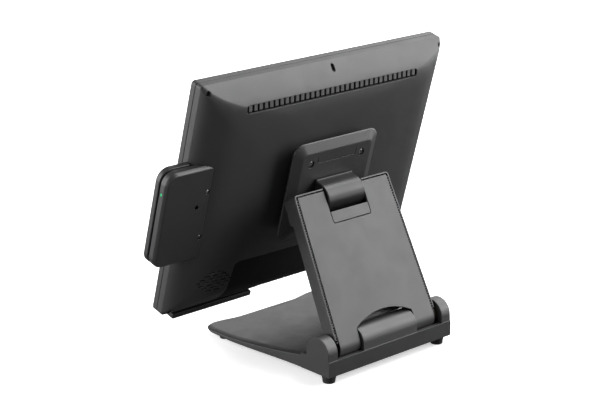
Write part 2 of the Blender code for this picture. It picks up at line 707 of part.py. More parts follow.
def add_case_screws(case, plastic, steel):
    """Screws at the four corners, each at the bottom of a round well in the shell."""
    shell = bpy.data.objects["rear_shell"]
    for name, x, z in CASE_SCREWS:
        well = circle(SCREW_WELL_RADIUS, (x, z), 16)
        cut(shell, prism(f"shell_screw_well_{name}", well, 10, 50, "Y", plastic, case))
        screw(f"case_screw_{name}", x, z, CASE_SCREW_TOP, "Y", CASE_SCREW_RADIUS, steel, case)


def build_screen(case):
    plastic = finish("case_plastic", (0.03, 0.03, 0.032), 0.5)
    cover = finish("io_cover_plastic", (0.012, 0.012, 0.013), 0.55)
    glass = finish("glass_black", (0.01, 0.01, 0.012), 0.08)
    steel = finish("case_screw_steel", (0.6, 0.6, 0.62), 0.3, 1.0)
    add_rear_shell(case, plastic)
    add_bay_cover(case, cover)
    add_bezel(case, finish("bezel_plastic", (0.028, 0.028, 0.03), 0.5), glass)
    add_display_stack(case)
    add_speakers(case)
    add_ports(case)
    add_vent(case, finish("vent_plastic", (0.05, 0.05, 0.052), 0.5))
    add_mount_plate(case, finish("plate_plastic", (0.04, 0.04, 0.042), 0.5),
                    finish("spacer_plastic", (0.02, 0.02, 0.021), 0.6))
    add_knuckle(case, finish("knuckle_plastic", (0.035, 0.035, 0.037), 0.4))
    add_bottom_rails(case, finish("rail_plastic", (0.02, 0.02, 0.021), 0.5))
    add_case_screws(case, plastic, steel)


# ---------------------------------------------------------------- card reader

READER_LOW = 77.8
READER_HIGH = 192.6
READER_INNER = 154.0
READER_OUTER = 216.0
READER_FRONT = 13.6
READER_REAR = 33.0
SLOT_FRONT = 20.4
SLOT_REAR = 22.9
SLOT_FLOOR = 202.0
READER_SCREW_X = 157.9
READER_SCREWS = (("top", 161.4), ("low", 105.5))


def reader_outline(left, inset=0.0):
    """The reader seen from behind: its outer corners are generously round."""
    radius = 14.0 - inset
    right, low, high = READER_OUTER - inset, READER_LOW + inset, READER_HIGH - inset
    points = [(left, low)] + arc(radius, -90, 0, (right - radius, low + radius), 6)
    return points + arc(radius, 0, 90, (right - radius, high - radius), 6) + [(left, high)]


def add_reader_rear(case, plastic):
    rings = [[(x, y, z) for x, z in reader_outline(READER_INNER, inset)]
             for y, inset in ((SLOT_REAR, 0.0), (READER_REAR - 2.5, 0.0), (READER_REAR, 2.5))]
    rear = loft("reader_rear_cover", rings, plastic, case)
    tongue_outline = box_outline(182, SLOT_FLOOR, READER_LOW + 4, READER_HIGH - 4)
    join(rear, prism("reader_slot_floor", tongue_outline, SLOT_FRONT + GAP, 26, "Y", plastic, case))
    cut(rear, crown("reader_case_clearance", -GAP - 0.1, SEAM_DEPTH, plastic, case))
    hollow = box_outline(184, SLOT_FLOOR - 2, READER_LOW + 8, READER_HIGH - 8)
    cut(rear, prism("reader_hollow", hollow, 10, READER_REAR - 2.4, "Y", plastic, case))
    window = box_outline(SLOT_FLOOR + 2, SLOT_FLOOR + 10, 126, 146)
    cut(rear, prism("reader_head_window", window, 10, READER_REAR - 2.4, "Y", plastic, case))
    for name, z in READER_SCREWS:
        hole = circle(3.0, (READER_SCREW_X, z), 16)
        cut(rear, prism(f"reader_screw_well_{name}", hole, 20, 50, "Y", plastic, case))
    dimple = circle(1.8, (169.5, 144.8), 16)
    cut(rear, prism("reader_key_hole", dimple, 30.5, 50, "Y", plastic, case))
    lens = box_outline(24.4, 27.4, 165.2, 169.2)
    cut(rear, prism("reader_lens_hole", lens, 210, 230, "X", plastic, case))


def build_reader(case):
    plastic = finish("reader_plastic", (0.03, 0.03, 0.032), 0.45)
    metal = finish("read_head_metal", (0.5, 0.5, 0.52), 0.3, 1.0)
    board = finish("reader_board_green", (0.02, 0.12, 0.05), 0.5)
    lens = finish("reader_lens_green", (0.02, 0.35, 0.12), 0.25)
    steel = finish("reader_screw_steel", (0.6, 0.6, 0.62), 0.3, 1.0)
    add_reader_rear(case, plastic)
    front = prism("reader_front_cover", reader_outline(CASE_WIDTH / 2 + 0.6), READER_FRONT, SLOT_FRONT,
                  "Y", finish("reader_front_plastic", (0.03, 0.03, 0.032), 0.45), case)
    recess = box_outline(184, SLOT_FLOOR - 2, READER_LOW + 8, READER_HIGH - 8)
    cut(front, prism("reader_front_recess", recess, 17, 40, "Y", plastic, case))
    block("read_head", (SLOT_FLOOR + 2.4, SLOT_FLOOR + 9.6), (22.0, 28.0), (126.4, 145.6), metal, case)
    block("reader_board", (185, SLOT_FLOOR - 3), (24.0, 25.4), (92, 178), board, case)
    block("reader_status_lens", (212.5, 215.9), (24.7, 27.1), (165.5, 168.9), lens, case)
    shell = bpy.data.objects["rear_shell"]
    for name, z in READER_SCREWS:
        screw(f"reader_screw_{name}", READER_SCREW_X, z, READER_REAR - 0.4, "Y", 2.6, steel, case)
        pilot = circle(1.8, (READER_SCREW_X, z), 16)
        cut(shell, prism(f"shell_reader_pilot_{name}", pilot, 20, 50, "Y", plastic, case))
        seat = circle(3.0, (READER_SCREW_X, z), 16)
        cut(shell, prism(f"shell_reader_seat_{name}", seat, 30.4, 50, "Y", plastic, case))


# ---------------------------------------------------------------- power button

def build_power_button(case):
    """A sprung button in the left side wall."""
    plastic = finish("button_plastic", (0.05, 0.05, 0.052), 0.4)
    outline = rounded_box(8.6, 14.4, 32.4, 47.6, 1.6)
    prism("power_button", outline, -178.1, -172.0, "X", plastic, case)


# ---------------------------------------------------------------- assembly

def clear_scene():
    for item in list(bpy.data.objects):
        bpy.data.objects.remove(item, do_unlink=True)


def main():
    clear_scene()
    stand = frame_at("stand", (STAND_X, STAND_Y, 0), 0, None)
    arm = frame_at("arm", (0, *LOWER_AXIS), ARM_LEAN, stand)
    screen = frame_at("screen", (0, *UPPER_AXIS), -ARM_LEAN - SCREEN_LEAN, arm)
    case = frame_at("case", (0, -AXIS_IN_CASE[0], -AXIS_IN_CASE[1]), 0, screen)
    build_base(stand)
    build_arm(arm)
    build_screen(case)
    build_reader(case)
    build_power_button(case)


main()
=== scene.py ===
"""Looks of the touchscreen terminal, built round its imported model.

Pieces are drawn in millimetres in three local frames and then placed in the world in metres:
  STAND  x across, y rearwards, z up, under the base's rear wall
  ARM    x across, y out of the rear cover, z up the arm, on the lower hinge axis
  CASE   x across, y from the glass rearwards, z up the screen, at its front lower edge
"""

import json
import math

import bmesh
import bpy
from mathutils import Matrix, Vector


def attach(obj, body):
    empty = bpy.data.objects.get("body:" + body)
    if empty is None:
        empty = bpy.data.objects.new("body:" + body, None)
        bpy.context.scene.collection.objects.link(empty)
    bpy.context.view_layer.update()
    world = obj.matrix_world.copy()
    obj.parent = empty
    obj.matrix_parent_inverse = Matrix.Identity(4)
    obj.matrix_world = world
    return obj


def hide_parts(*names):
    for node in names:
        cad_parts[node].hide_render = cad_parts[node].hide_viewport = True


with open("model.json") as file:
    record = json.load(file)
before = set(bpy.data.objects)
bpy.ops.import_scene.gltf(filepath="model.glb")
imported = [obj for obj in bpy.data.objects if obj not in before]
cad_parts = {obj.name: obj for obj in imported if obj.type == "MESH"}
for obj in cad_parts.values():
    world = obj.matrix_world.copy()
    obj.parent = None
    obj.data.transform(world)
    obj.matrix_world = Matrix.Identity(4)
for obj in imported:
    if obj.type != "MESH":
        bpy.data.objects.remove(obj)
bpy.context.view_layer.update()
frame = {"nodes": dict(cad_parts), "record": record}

MM = 0.001
# Places in the frames' own millimetres, y and z for an axis, and the two lean angles in degrees
LOWER_AXIS = (-18.2, 34.0)
UPPER_AXIS = (-1.3, 157.6)
AXIS_IN_CASE = (69.3, 142.0)
ARM_LEAN = 26.3
SCREEN_LEAN = 15.6
STAND_PLACE = (-19.2, 105.8, 0)


def shift(x, y, z):
    return Matrix.Translation((x, y, z))


def turn_x(degrees):
    return Matrix.Rotation(math.radians(degrees), 4, "X")


STAND = Matrix.Scale(MM, 4) @ shift(*STAND_PLACE)
ARM = STAND @ shift(0, *LOWER_AXIS) @ turn_x(ARM_LEAN)
CASE = (ARM @ shift(0, *UPPER_AXIS) @ turn_x(-ARM_LEAN - SCREEN_LEAN)
        @ shift(0, -AXIS_IN_CASE[0], -AXIS_IN_CASE[1]))


# ---------------------------------------------------------------- outlines

NO_LENGTH = 1e-6
ROUND_STEPS = ((0.5, 0.0), (0.15, 0.15), (0.0, 0.5))  # a half-millimetre round edge, as inset and depth


def arc(radius, start, end, centre=(0.0, 0.0), steps=12):
    points = []
    for step in range(steps + 1):
        angle = math.radians(start + (end - start) * step / steps)
        points.append((centre[0] + radius * math.cos(angle), centre[1] + radius * math.sin(angle)))
    return points


def circle(radius, centre=(0.0, 0.0), steps=48):
    return arc(radius, 0, 360 - 360 / steps, centre, steps - 1)


def rounded_box(left, right, low, high, radius, steps=10):
    """An anticlockwise rectangle with round corners."""
    corners = ((right, low, -90), (right, high, 0), (left, high, 90), (left, low, 180))
    middle = ((left + right) / 2, (low + high) / 2)
    points = []
    for x, y, start in corners:
        centre = (x - math.copysign(radius, x - middle[0]), y - math.copysign(radius, y - middle[1]))
        points += arc(radius, start, start + 90, centre, steps)
    return points


def box_outline(left, right, low, high):
    return [(left, low), (right, low), (right, high), (left, high)]


def mirrored(points):
    return [(-x, y) for x, y in reversed(points)]


def both_sides(near, far):
    """The spans from near to far on the left and on the right of the middle."""
    return [(-far, -near), (near, far)]


def inset_outline(points, distance):
    """The outline moved inwards by a distance, corner by corner, by twice as much at the most."""
    if distance == 0:
        return list(points)
    moved = []
    count = len(points)
    for i, here in enumerate(points):
        before, after = Vector(points[i - 1]), Vector(points[(i + 1) % count])
        here = Vector(here)
        first, second = (here - before).normalized(), (after - here).normalized()
        normal = Vector((-first.y - second.y, first.x + second.x))
        length = normal.length
        if length < NO_LENGTH:
            moved.append(tuple(here))
            continue
        normal /= length
        stretch = 1.0 / max(0.5, normal.dot(Vector((-first.y, first.x))))
        moved.append(tuple(here + normal * distance * stretch))
    return moved


# ---------------------------------------------------------------- meshes

WELD_DISTANCE = 0.002
SHARP_ANGLE = 32
FLAT_FACE_WEIGHT = 80


def on_axis(axis, a, b, along):
    return {"X": (along, a, b), "Y": (a, along, b), "Z": (a, b, along)}[axis]


def loft(rings, hollow=False):
    """A closed solid through rings of equal length, still in local millimetres."""
    work = bmesh.new()
    levels = [[work.verts.new(point) for point in ring] for ring in rings]
    following = levels[1:] + levels[:1] if hollow else levels[1:]
    for lower, upper in zip(levels, following):
        for i in range(len(lower)):
            j = (i + 1) % len(lower)
            work.faces.new((lower[i], lower[j], upper[j], upper[i]))
    if not hollow:
        caps = [work.faces.new(levels[0][::-1]), work.faces.new(levels[-1])]
        bmesh.ops.triangulate(work, faces=caps)
    bmesh.ops.recalc_face_normals(work, faces=work.faces)
    if work.calc_volume(signed=True) < 0:
        bmesh.ops.reverse_faces(work, faces=work.faces)
    mesh = bpy.data.meshes.new("solid")
    work.to_mesh(mesh)
    work.free()
    solid = bpy.data.objects.new("solid", mesh)
    bpy.context.scene.collection.objects.link(solid)
    return solid


def prism(outline, low, high, axis, edge=0.0, steps=3):
    """An outline pushed along an axis; its end edges are rounded by the edge radius."""
    levels = [(0.0, 0.0)]
    if edge:
        angles = [math.radians(90 * step / steps) for step in range(steps + 1)]
        levels = [(edge * (1 - math.sin(angle)), edge * (1 - math.cos(angle))) for angle in angles]
    rings = [(inset, low + rise) for inset, rise in levels]
    rings += [(inset, high - rise) for inset, rise in reversed(levels)]
    return loft([[on_axis(axis, a, b, along) for a, b in inset_outline(outline, inset)]
                 for inset, along in rings])


def turned(profile, centre, axis, steps=48, hollow=False):
    return loft([[on_axis(axis, a, b, along) for a, b in circle(radius, centre, steps)]
                 for radius, along in profile], hollow)


def apply_modifiers(solid):
    graph = bpy.context.evaluated_depsgraph_get()
    mesh = bpy.data.meshes.new_from_object(solid.evaluated_get(graph))
    old = solid.data
    solid.modifiers.clear()
    solid.data = mesh
    bpy.data.meshes.remove(old)


def combine(target, tools, operation):
    """Applies one Boolean per tool and removes the tools."""
    for tool in tools:
        modifier = target.modifiers.new("bool", "BOOLEAN")
        modifier.operation = operation
        modifier.solver = "MANIFOLD"
        modifier.object = tool
    apply_modifiers(target)
    for tool in tools:
        bpy.data.objects.remove(tool)
    return target


def cut(target, *tools):
    return combine(target, tools, "DIFFERENCE")


def join(target, *tools):
    return combine(target, tools, "UNION")


def keep_inside(target, *tools):
    return combine(target, tools, "INTERSECT")


def merge(solids):
    """Several separate solids in one object, with no Boolean."""
    work = bmesh.new()
    for solid in solids:
        work.from_mesh(solid.data)
    mesh = bpy.data.meshes.new("solid")
    work.to_mesh(mesh)
    work.free()
    for solid in solids:
        bpy.data.objects.remove(solid)
    made = bpy.data.objects.new("solid", mesh)
    bpy.context.scene.collection.objects.link(made)
    return made


def put(solid, name, local, body, slot, *nodes):
    """Names a finished solid, moves its mesh to its place and puts it on its body."""
    solid.name = name
    solid.data.name = name
    work = bmesh.new()
    work.from_mesh(solid.data)
    bmesh.ops.remove_doubles(work, verts=work.verts, dist=WELD_DISTANCE)
    bmesh.ops.dissolve_degenerate(work, edges=work.edges, dist=WELD_DISTANCE)
    work.to_mesh(solid.data)
    work.free()
    solid.data.transform(local)
    solid.data.materials.clear()
    solid.data.materials.append(SLOTS[slot])
    solid.data.shade_smooth()
    solid.data.set_sharp_from_angle(angle=math.radians(SHARP_ANGLE))
    normals = solid.modifiers.new("normals", "WEIGHTED_NORMAL")
    normals.keep_sharp = True
    normals.weight = FLAT_FACE_WEIGHT
    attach(solid, body)
    if nodes:
        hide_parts(*nodes)


# ---------------------------------------------------------------- materials, lengths in metres

MIX_FIRST, MIX_SECOND, MIX_COLOUR = 6, 7, 2  # the colour sockets of a Mix node
EDGE_STARTS, EDGE_FULL = 0.99, 0.8  # how far the rounded normal agrees with the face's
BLACK = (0.0, 0.0, 0.0, 1.0)
WHITE = (1.0, 1.0, 1.0, 1.0)


class Paint:
    """A material under construction."""

    def __init__(self, name):
        self.material = bpy.data.materials.new(name)
        self.material.use_nodes = True
        self.tree = self.material.node_tree
        self.shader = self.tree.nodes["Principled BSDF"]
        self.place = self.add("TexCoord").outputs["Object"]

    def add(self, kind, sockets=None, **settings):
        """A new node, its settings made and its sockets fed."""
        node = self.tree.nodes.new("ShaderNode" + kind)
        for key, value in settings.items():
            setattr(node, key, value)
        for key, value in (sockets or {}).items():
            self.feed(node.inputs[key], value)
        return node

    def feed(self, socket, value):
        if isinstance(value, bpy.types.NodeSocket):
            self.tree.links.new(value, socket)
        else:
            socket.default_value = value

    def math(self, operation, *values, clamp=False):
        node = self.add("Math", operation=operation, use_clamp=clamp)
        for socket, value in zip(node.inputs, values):
            self.feed(socket, value)
        return node.outputs[0]

    def noise(self, scale, detail=2.0, rough=0.5, stretch=None):
        where = self.place
        if stretch:
            where = self.add("Mapping", {"Vector": self.place, "Scale": stretch}).outputs[0]
        return self.add("TexNoise", {"Vector": where, "Scale": scale, "Detail": detail,
                                     "Roughness": rough}).outputs["Fac"]

    def span(self, value, low, high, to_low, to_high):
        """A value moved from one range to another."""
        node = self.add("MapRange", {"Value": value, "From Min": low, "From Max": high,
                                     "To Min": to_low, "To Max": to_high})
        return node.outputs[0]

    def blend(self, share, first, second):
        node = self.add("Mix", data_type="RGBA")
        self.feed(node.inputs["Factor"], share)
        self.feed(node.inputs[MIX_FIRST], first)
        self.feed(node.inputs[MIX_SECOND], second)
        return node.outputs[MIX_COLOUR]

    def edges(self, radius, samples=6):
        """A rounded normal and a mask that is 1 on convex and concave edges."""
        bevel = self.add("Bevel", {"Radius": radius}, samples=samples).outputs[0]
        flat = self.add("NewGeometry").outputs["Normal"]
        dot = self.add("VectorMath", operation="DOT_PRODUCT")
        self.feed(dot.inputs[0], bevel)
        self.feed(dot.inputs[1], flat)
        return bevel, self.span(dot.outputs["Value"], EDGE_STARTS, EDGE_FULL, 0.0, 1.0)

    def bump(self, height, distance, strength, normal):
        node = self.add("Bump", {"Height": height, "Distance": distance, "Strength": strength,
                                 "Normal": normal})
        return node.outputs[0]

    def set(self, **values):
        """Feeds the shader's sockets; an underscore in a name stands for a space."""
        for key, value in values.items():
            self.feed(self.shader.inputs[key.replace("_", " ")], value)


def tint(colour, factor):
    return (*[min(1.0, channel * factor) for channel in colour], 1.0)


def plastic(name, colour, rough, grain=2200.0, depth=0.00006, round_edge=0.0005, wear=0.3,
            specular=0.5):
    """Moulded plastic: spark-eroded grain, faint mottling and edges rubbed a little lighter."""
    paint = Paint(name)
    fine = paint.noise(grain, 3.0, 0.6)
    pebble = paint.add("TexVoronoi", {"Vector": paint.place, "Scale": grain * 0.55}).outputs["Distance"]
    broad = paint.noise(14.0, 3.0, 0.55)
    smudge = paint.noise(55.0, 4.0, 0.6)
    normal, edge = paint.edges(round_edge)
    body = paint.blend(broad, tint(colour, 0.88), tint(colour, 1.12))
    body = paint.blend(paint.span(fine, 0.3, 0.7, 0.0, 0.16), body, tint(colour, 1.9))
    worn = paint.math("MULTIPLY", edge, paint.span(smudge, 0.35, 0.7, 0.35 * wear, wear))
    body = paint.blend(worn, body, tint(colour, 3.2))
    gloss = paint.math("ADD", paint.span(smudge, 0.2, 0.8, rough - 0.05, rough + 0.06),
                       paint.span(fine, 0.3, 0.7, -0.03, 0.04))
    gloss = paint.math("SUBTRACT", gloss, paint.math("MULTIPLY", edge, 0.06), clamp=True)
    height = paint.math("ADD", fine, paint.math("MULTIPLY", pebble, 0.6))
    paint.set(Base_Color=body, Roughness=gloss, Normal=paint.bump(height, depth, 0.55, normal),
              Specular_IOR_Level=specular)
    return paint.material


def metal(name, colour, rough, stretch=(60.0, 60.0, 2200.0), round_edge=0.0002):
    """Plated or machined metal with fine directional marks."""
    paint = Paint(name)
    marks = paint.noise(1.0, 4.0, 0.65, stretch)
    stain = paint.noise(90.0, 3.0, 0.6)
    normal, edge = paint.edges(round_edge, 4)
    body = paint.blend(stain, tint(colour, 0.8), tint(colour, 1.08))
    body = paint.blend(paint.math("MULTIPLY", edge, 0.4), body, tint(colour, 1.4))
    gloss = paint.span(marks, 0.25, 0.75, rough - 0.08, rough + 0.12)
    paint.set(Base_Color=body, Roughness=gloss, Metallic=1.0,
              Normal=paint.bump(marks, 0.00002, 0.35, normal))
    return paint.material


def rubber(name, colour, rough):
    paint = Paint(name)
    fine = paint.noise(1500.0, 4.0, 0.7)
    dust = paint.noise(160.0, 5.0, 0.65)
    normal, edge = paint.edges(0.0004, 4)
    body = paint.blend(paint.span(dust, 0.5, 0.8, 0.0, 0.5), tint(colour, 1.0), tint(colour, 3.0))
    body = paint.blend(paint.math("MULTIPLY", edge, 0.3), body, tint(colour, 3.5))
    paint.set(Base_Color=body, Roughness=paint.span(dust, 0.2, 0.8, rough - 0.1, rough + 0.1),
              Normal=paint.bump(fine, 0.00008, 0.7, normal))
    return paint.material


def touch_glass(name):
    """Dark glass with faint finger haze and an almost invisible touch grid."""
    paint = Paint(name)
    haze = paint.noise(9.0, 5.0, 0.62)
    streak = paint.noise(26.0, 3.0, 0.5, (1.0, 4.0, 1.2))
    grid = paint.add("TexBrick", {"Vector": paint.place, "Scale": 160.0, "Mortar Size": 0.03,
                                  "Color1": BLACK, "Color2": BLACK, "Mortar": WHITE}).outputs["Color"]
    body = paint.blend(haze, (0.006, 0.006, 0.008, 1.0), (0.012, 0.012, 0.014, 1.0))
    body = paint.blend(paint.math("MULTIPLY", grid, 0.06), body, (0.05, 0.05, 0.055, 1.0))
    gloss = paint.math("ADD", paint.span(haze, 0.4, 0.75, 0.3, 0.38),
                       paint.span(streak, 0.5, 0.8, 0.0, 0.06))
    normal, _ = paint.edges(0.0004, 4)
    paint.set(Base_Color=body, Roughness=gloss, Normal=paint.bump(haze, 0.00001, 0.2, normal),
              Specular_IOR_Level=0.12)
    return paint.material


def circuit_board(name):
    """Green solder mask with copper runs and pads."""
    paint = Paint(name)
    tracks = paint.add("TexBrick", {"Vector": paint.place, "Scale": 420.0, "Mortar Size": 0.06,
                                    "Color1": BLACK, "Color2": (0.6, 0.6, 0.6, 1.0),
                                    "Mortar": WHITE}).outputs["Color"]
    pads = paint.add("TexVoronoi", {"Vector": paint.place, "Scale": 260.0}).outputs["Distance"]
    mottle = paint.noise(40.0, 3.0, 0.5)
    body = paint.blend(mottle, (0.008, 0.07, 0.028, 1.0), (0.014, 0.11, 0.04, 1.0))
    body = paint.blend(paint.math("MULTIPLY", tracks, 0.25), body, (0.03, 0.2, 0.08, 1.0))
    dots = paint.span(pads, 0.1, 0.14, 1.0, 0.0)
    body = paint.blend(dots, body, (0.5, 0.46, 0.32, 1.0))
    normal, _ = paint.edges(0.0002, 4)
    paint.set(Base_Color=body, Roughness=paint.span(mottle, 0.2, 0.8, 0.3, 0.5),
              Normal=paint.bump(tracks, 0.00004, 0.5, normal))
    return paint.material


def status_lens(name):
    """A small green light behind a frosted lens."""
    paint = Paint(name)
    frost = paint.noise(900.0, 3.0, 0.6)
    body = paint.blend(frost, (0.01, 0.32, 0.12, 1.0), (0.03, 0.55, 0.2, 1.0))
    normal, _ = paint.edges(0.0002, 4)
    paint.set(Base_Color=body, Roughness=paint.span(frost, 0.2, 0.8, 0.25, 0.45),
              Emission_Color=body, Emission_Strength=0.25, Normal=paint.bump(frost, 0.00003, 0.4, normal))
    return paint.material


CHARCOAL = (0.034, 0.034, 0.0355)
# The look of each material slot in the record
SLOTS = {
    "stand_plastic": plastic("stand_plastic_look", (0.027, 0.027, 0.0282), 0.42),
    "bottom_cover_plastic": plastic("bottom_cover_look", (0.022, 0.022, 0.023), 0.6, depth=0.0001),
    "foot_rubber": rubber("foot_rubber_look", (0.010, 0.010, 0.0105), 0.75),
    "shaft_steel": metal("shaft_steel_look", (0.55, 0.55, 0.56), 0.3, (2200.0, 60.0, 60.0)),
    "washer_brass": metal("washer_brass_look", (0.6, 0.46, 0.2), 0.35),
    "weight_steel": metal("weight_steel_look", (0.3, 0.3, 0.31), 0.5),
    "arm_frame_plastic": plastic("arm_frame_look", (0.024, 0.024, 0.025), 0.42),
    "arm_cover_plastic": plastic("arm_cover_look", (0.034, 0.034, 0.0354), 0.48),
    "core_steel": metal("core_steel_look", (0.35, 0.36, 0.37), 0.45),
    "bracket_zinc": metal("bracket_zinc_look", (0.5, 0.51, 0.53), 0.4),
    "case_plastic": plastic("case_look", CHARCOAL, 0.45, grain=1500.0, depth=0.00014),
    # Near-black, far darker than the case: painted shade for the cable bay cover and the vent's recess
    "io_cover_plastic": plastic("io_cover_painted_shade_look", (0.0035, 0.0035, 0.0037), 0.6, specular=0.22),
    "glass_black": touch_glass("touch_glass_look"),
    "bezel_plastic": plastic("bezel_look", CHARCOAL, 0.45),
    "lcd_panel_metal": metal("lcd_panel_look", (0.45, 0.46, 0.48), 0.4),
    "chassis_steel": metal("chassis_look", (0.5, 0.51, 0.52), 0.38),
    "board_green": circuit_board("board_look"),
    "heatsink_aluminium": metal("heatsink_look", (0.6, 0.61, 0.62), 0.35),
    "drive_aluminium": metal("drive_look", (0.5, 0.51, 0.53), 0.35),
    "speaker_black": plastic("speaker_look", (0.01, 0.01, 0.0105), 0.6),
    "port_bracket_steel": metal("port_bracket_look", (0.5, 0.51, 0.53), 0.35),
    "socket_metal": metal("socket_look", (0.6, 0.6, 0.62), 0.3),
    "socket_black": plastic("socket_black_look", (0.012, 0.012, 0.0125), 0.5),
    "vent_plastic": plastic("vent_look", (0.05, 0.05, 0.052), 0.45),
    "plate_plastic": plastic("plate_look", (0.036, 0.036, 0.0375), 0.4),
    "spacer_plastic": plastic("spacer_look", (0.012, 0.012, 0.0125), 0.6),
    "knuckle_plastic": plastic("knuckle_look", (0.012, 0.012, 0.0126), 0.34, depth=0.00003, specular=0.36),
    "rail_plastic": plastic("rail_look", (0.02, 0.02, 0.021), 0.5),
    "screw_steel": metal("screw_look", (0.3, 0.3, 0.31), 0.36, (900.0, 900.0, 900.0)),
    "reader_plastic": plastic("reader_look", (0.03, 0.03, 0.0315), 0.38, depth=0.00003),
    "read_head_metal": metal("read_head_look", (0.55, 0.55, 0.57), 0.25),
    "reader_lens_green": status_lens("lens_look"),
    "button_plastic": plastic("button_look", (0.04, 0.04, 0.042), 0.35, depth=0.00003),
}


# ---------------------------------------------------------------- base

BASE_WIDTH = 187.4
BASE_LENGTH = 211.5
BASE_WALL = 2.5
FACE_STEP = 0.02  # keeps the faces of joined solids apart
UNDERSIDE = 9.9
REAR_LIP = 27.2
REAR_WALL_FRONT = -44
REAR_WALL_STEP = 0.03
TOWER_INNER = 79.8
TOWER_RADIUS = 17.2
HUMP_HALF = 40.8
HUMP_RADIUS = 16.4
UPRIGHT_EDGE = 0.6
TROUGH_RADIUS = 14.8
WELL_INNER = 4
WELL_OUTLINE = box_outline(-40, -5, -10, 17)
LOWER_BORE = 4.3
LOWER_BORE_HALF = 88.3
TONGUE_START = -34.0
TONGUE_STEPS = 44
TONGUE_SPACING = 1.8
TONGUE_HOLLOW_DROP = 20.0
CREASE_CURVE = 1.75
CREASE_RISE = 18.6
CREASE_TO_TOP = 2.4
CREASE_GAP = 0.4
CREASE_PULL = 0.4
TIP_CREASE = 6.8
TIP_UNDERSIDE = 5.0
TIP_LIFT = 1.2
CORNER_DEPTH = 9.0
TAPER_DEPTH = 2.5
FRONT_HOLLOW = 15.2
MIDDLE_CROWN = 0.5
# Shares of the tongue's length: where its underside has come down, and where its sides start to
# taper, its front corners start to turn and its front edge starts to curve inwards
UNDERSIDE_SHARE = 0.8
TAPER_START = 0.7
CORNER_START = 0.9
HOLLOW_START = 0.45
# Each foot's place, top and radius
FEET = {"rear_left": (-83.1, -11.2, UNDERSIDE, 7.8), "rear_right": (83.1, -11.2, UNDERSIDE, 7.8),
        "front_left": (-82.5, -184.0, 5.3, 6.5), "front_right": (82.5, -184.0, 5.3, 6.5)}
TALL_FOOT = 6


def smooth_step(value):
    value = min(max(value, 0.0), 1.0)
    return value * value * (3 - 2 * value)


def past(share, start):
    """How far a share of the length is past its start: 0 up to there, and 1 at the tip."""
    return max(0.0, share - start) / (1 - start)


def tongue_ring(share, inset, drop):
    """A cross-section of the tongue, pulled inwards by the inset."""
    corner = past(share, CORNER_START)
    half = BASE_WIDTH / 2 - TAPER_DEPTH * past(share, TAPER_START)
    half -= CORNER_DEPTH * (1 - math.sqrt(max(0.0, 1 - corner ** 2))) + inset
    low = TIP_UNDERSIDE + (UNDERSIDE - TIP_UNDERSIDE) * (1 - smooth_step(share / UNDERSIDE_SHARE))
    low = low + TIP_LIFT * smooth_step(corner) - drop
    crease = TIP_CREASE + CREASE_RISE * (1 - share) ** CREASE_CURVE
    top = crease + CREASE_TO_TOP - inset
    crease = min(crease, top - CREASE_GAP) - CREASE_PULL * inset
    y = TONGUE_START - (BASE_LENGTH + TONGUE_START - inset) * share
    outline = [(half - 0.5, low), (half, low + 0.5), (half, crease), (half - 0.25, crease + 0.5),
               (half - 1.4, crease + 1.2), (half - 4.2, top - 0.55), (half - 5.6, top - 0.2),
               (half - 7.4, top)]
    outline += [(half * part, top + MIDDLE_CROWN * (1 - part ** 2)) for part in (0.8, 0.6, 0.4, 0.2, 0.07)]
    outline = outline + mirrored(outline)
    hollow = FRONT_HOLLOW * smooth_step(past(share, HOLLOW_START))
    return [(x, y + hollow * (1 + math.cos(math.pi * x / half)) / 2, z) for x, z in outline]


def tongue(inset, drop):
    shares = [1 - (1 - step / TONGUE_STEPS) ** TONGUE_SPACING for step in range(TONGUE_STEPS + 1)]
    return loft([tongue_ring(share, inset, drop) for share in shares])


def upright(left, right, radius):
    y, z = LOWER_AXIS
    outline = [(y - radius, UNDERSIDE), (0.0, UNDERSIDE)] + arc(radius, 0, 180, (y, z), 48)
    return prism(outline, left, right, "X", UPRIGHT_EDGE)


def build_base():
    half = BASE_WIDTH / 2
    shell = tongue(2 * FACE_STEP, 0.0)
    rear = box_outline(REAR_WALL_FRONT, -REAR_WALL_STEP, UNDERSIDE - FACE_STEP, REAR_LIP)
    join(shell, prism(rear, -half + FACE_STEP, half - FACE_STEP, "X"))
    for left, right, radius in ((-half, -TOWER_INNER, TOWER_RADIUS), (-HUMP_HALF, HUMP_HALF, HUMP_RADIUS),
                                (TOWER_INNER, half, TOWER_RADIUS)):
        join(shell, upright(left, right, radius))
    cutters = []
    for trough, well in zip(both_sides(HUMP_HALF, TOWER_INNER), both_sides(WELL_INNER, half - BASE_WALL)):
        cutters.append(prism(circle(TROUGH_RADIUS, LOWER_AXIS, 72), *trough, "X"))
        cutters.append(prism(WELL_OUTLINE, *well, "X"))
    cutters.append(tongue(BASE_WALL, TONGUE_HOLLOW_DROP))
    cut(shell, *cutters)
    cut(shell, prism(circle(LOWER_BORE, LOWER_AXIS, 40), -LOWER_BORE_HALF, LOWER_BORE_HALF, "X"))
    put(shell, "base_body", STAND, "base", "stand_plastic", "base_shell")
    for spot in FEET:
        build_foot(spot)


def build_foot(spot):
    """A foot with a thin rim round its sole; the tall ones widen halfway up."""
    x, y, top, radius = FEET[spot]
    profile = [(radius - 2.6, 0.35), (radius - 2.3, 0.0), (radius - 1.7, 0.0), (radius - 1.1, 0.3),
               (radius - 0.8, 0.9)]
    if top > TALL_FOOT:
        profile += [(radius - 0.5, top * 0.5), (radius, top * 0.56)]
    profile.append((radius, top - 0.3))
    foot = turned(profile, (x, y), "Z", 56)
    put(foot, f"rubber_foot_{spot}", STAND, "base", "foot_rubber", f"foot_{spot}")


# ---------------------------------------------------------------- arm

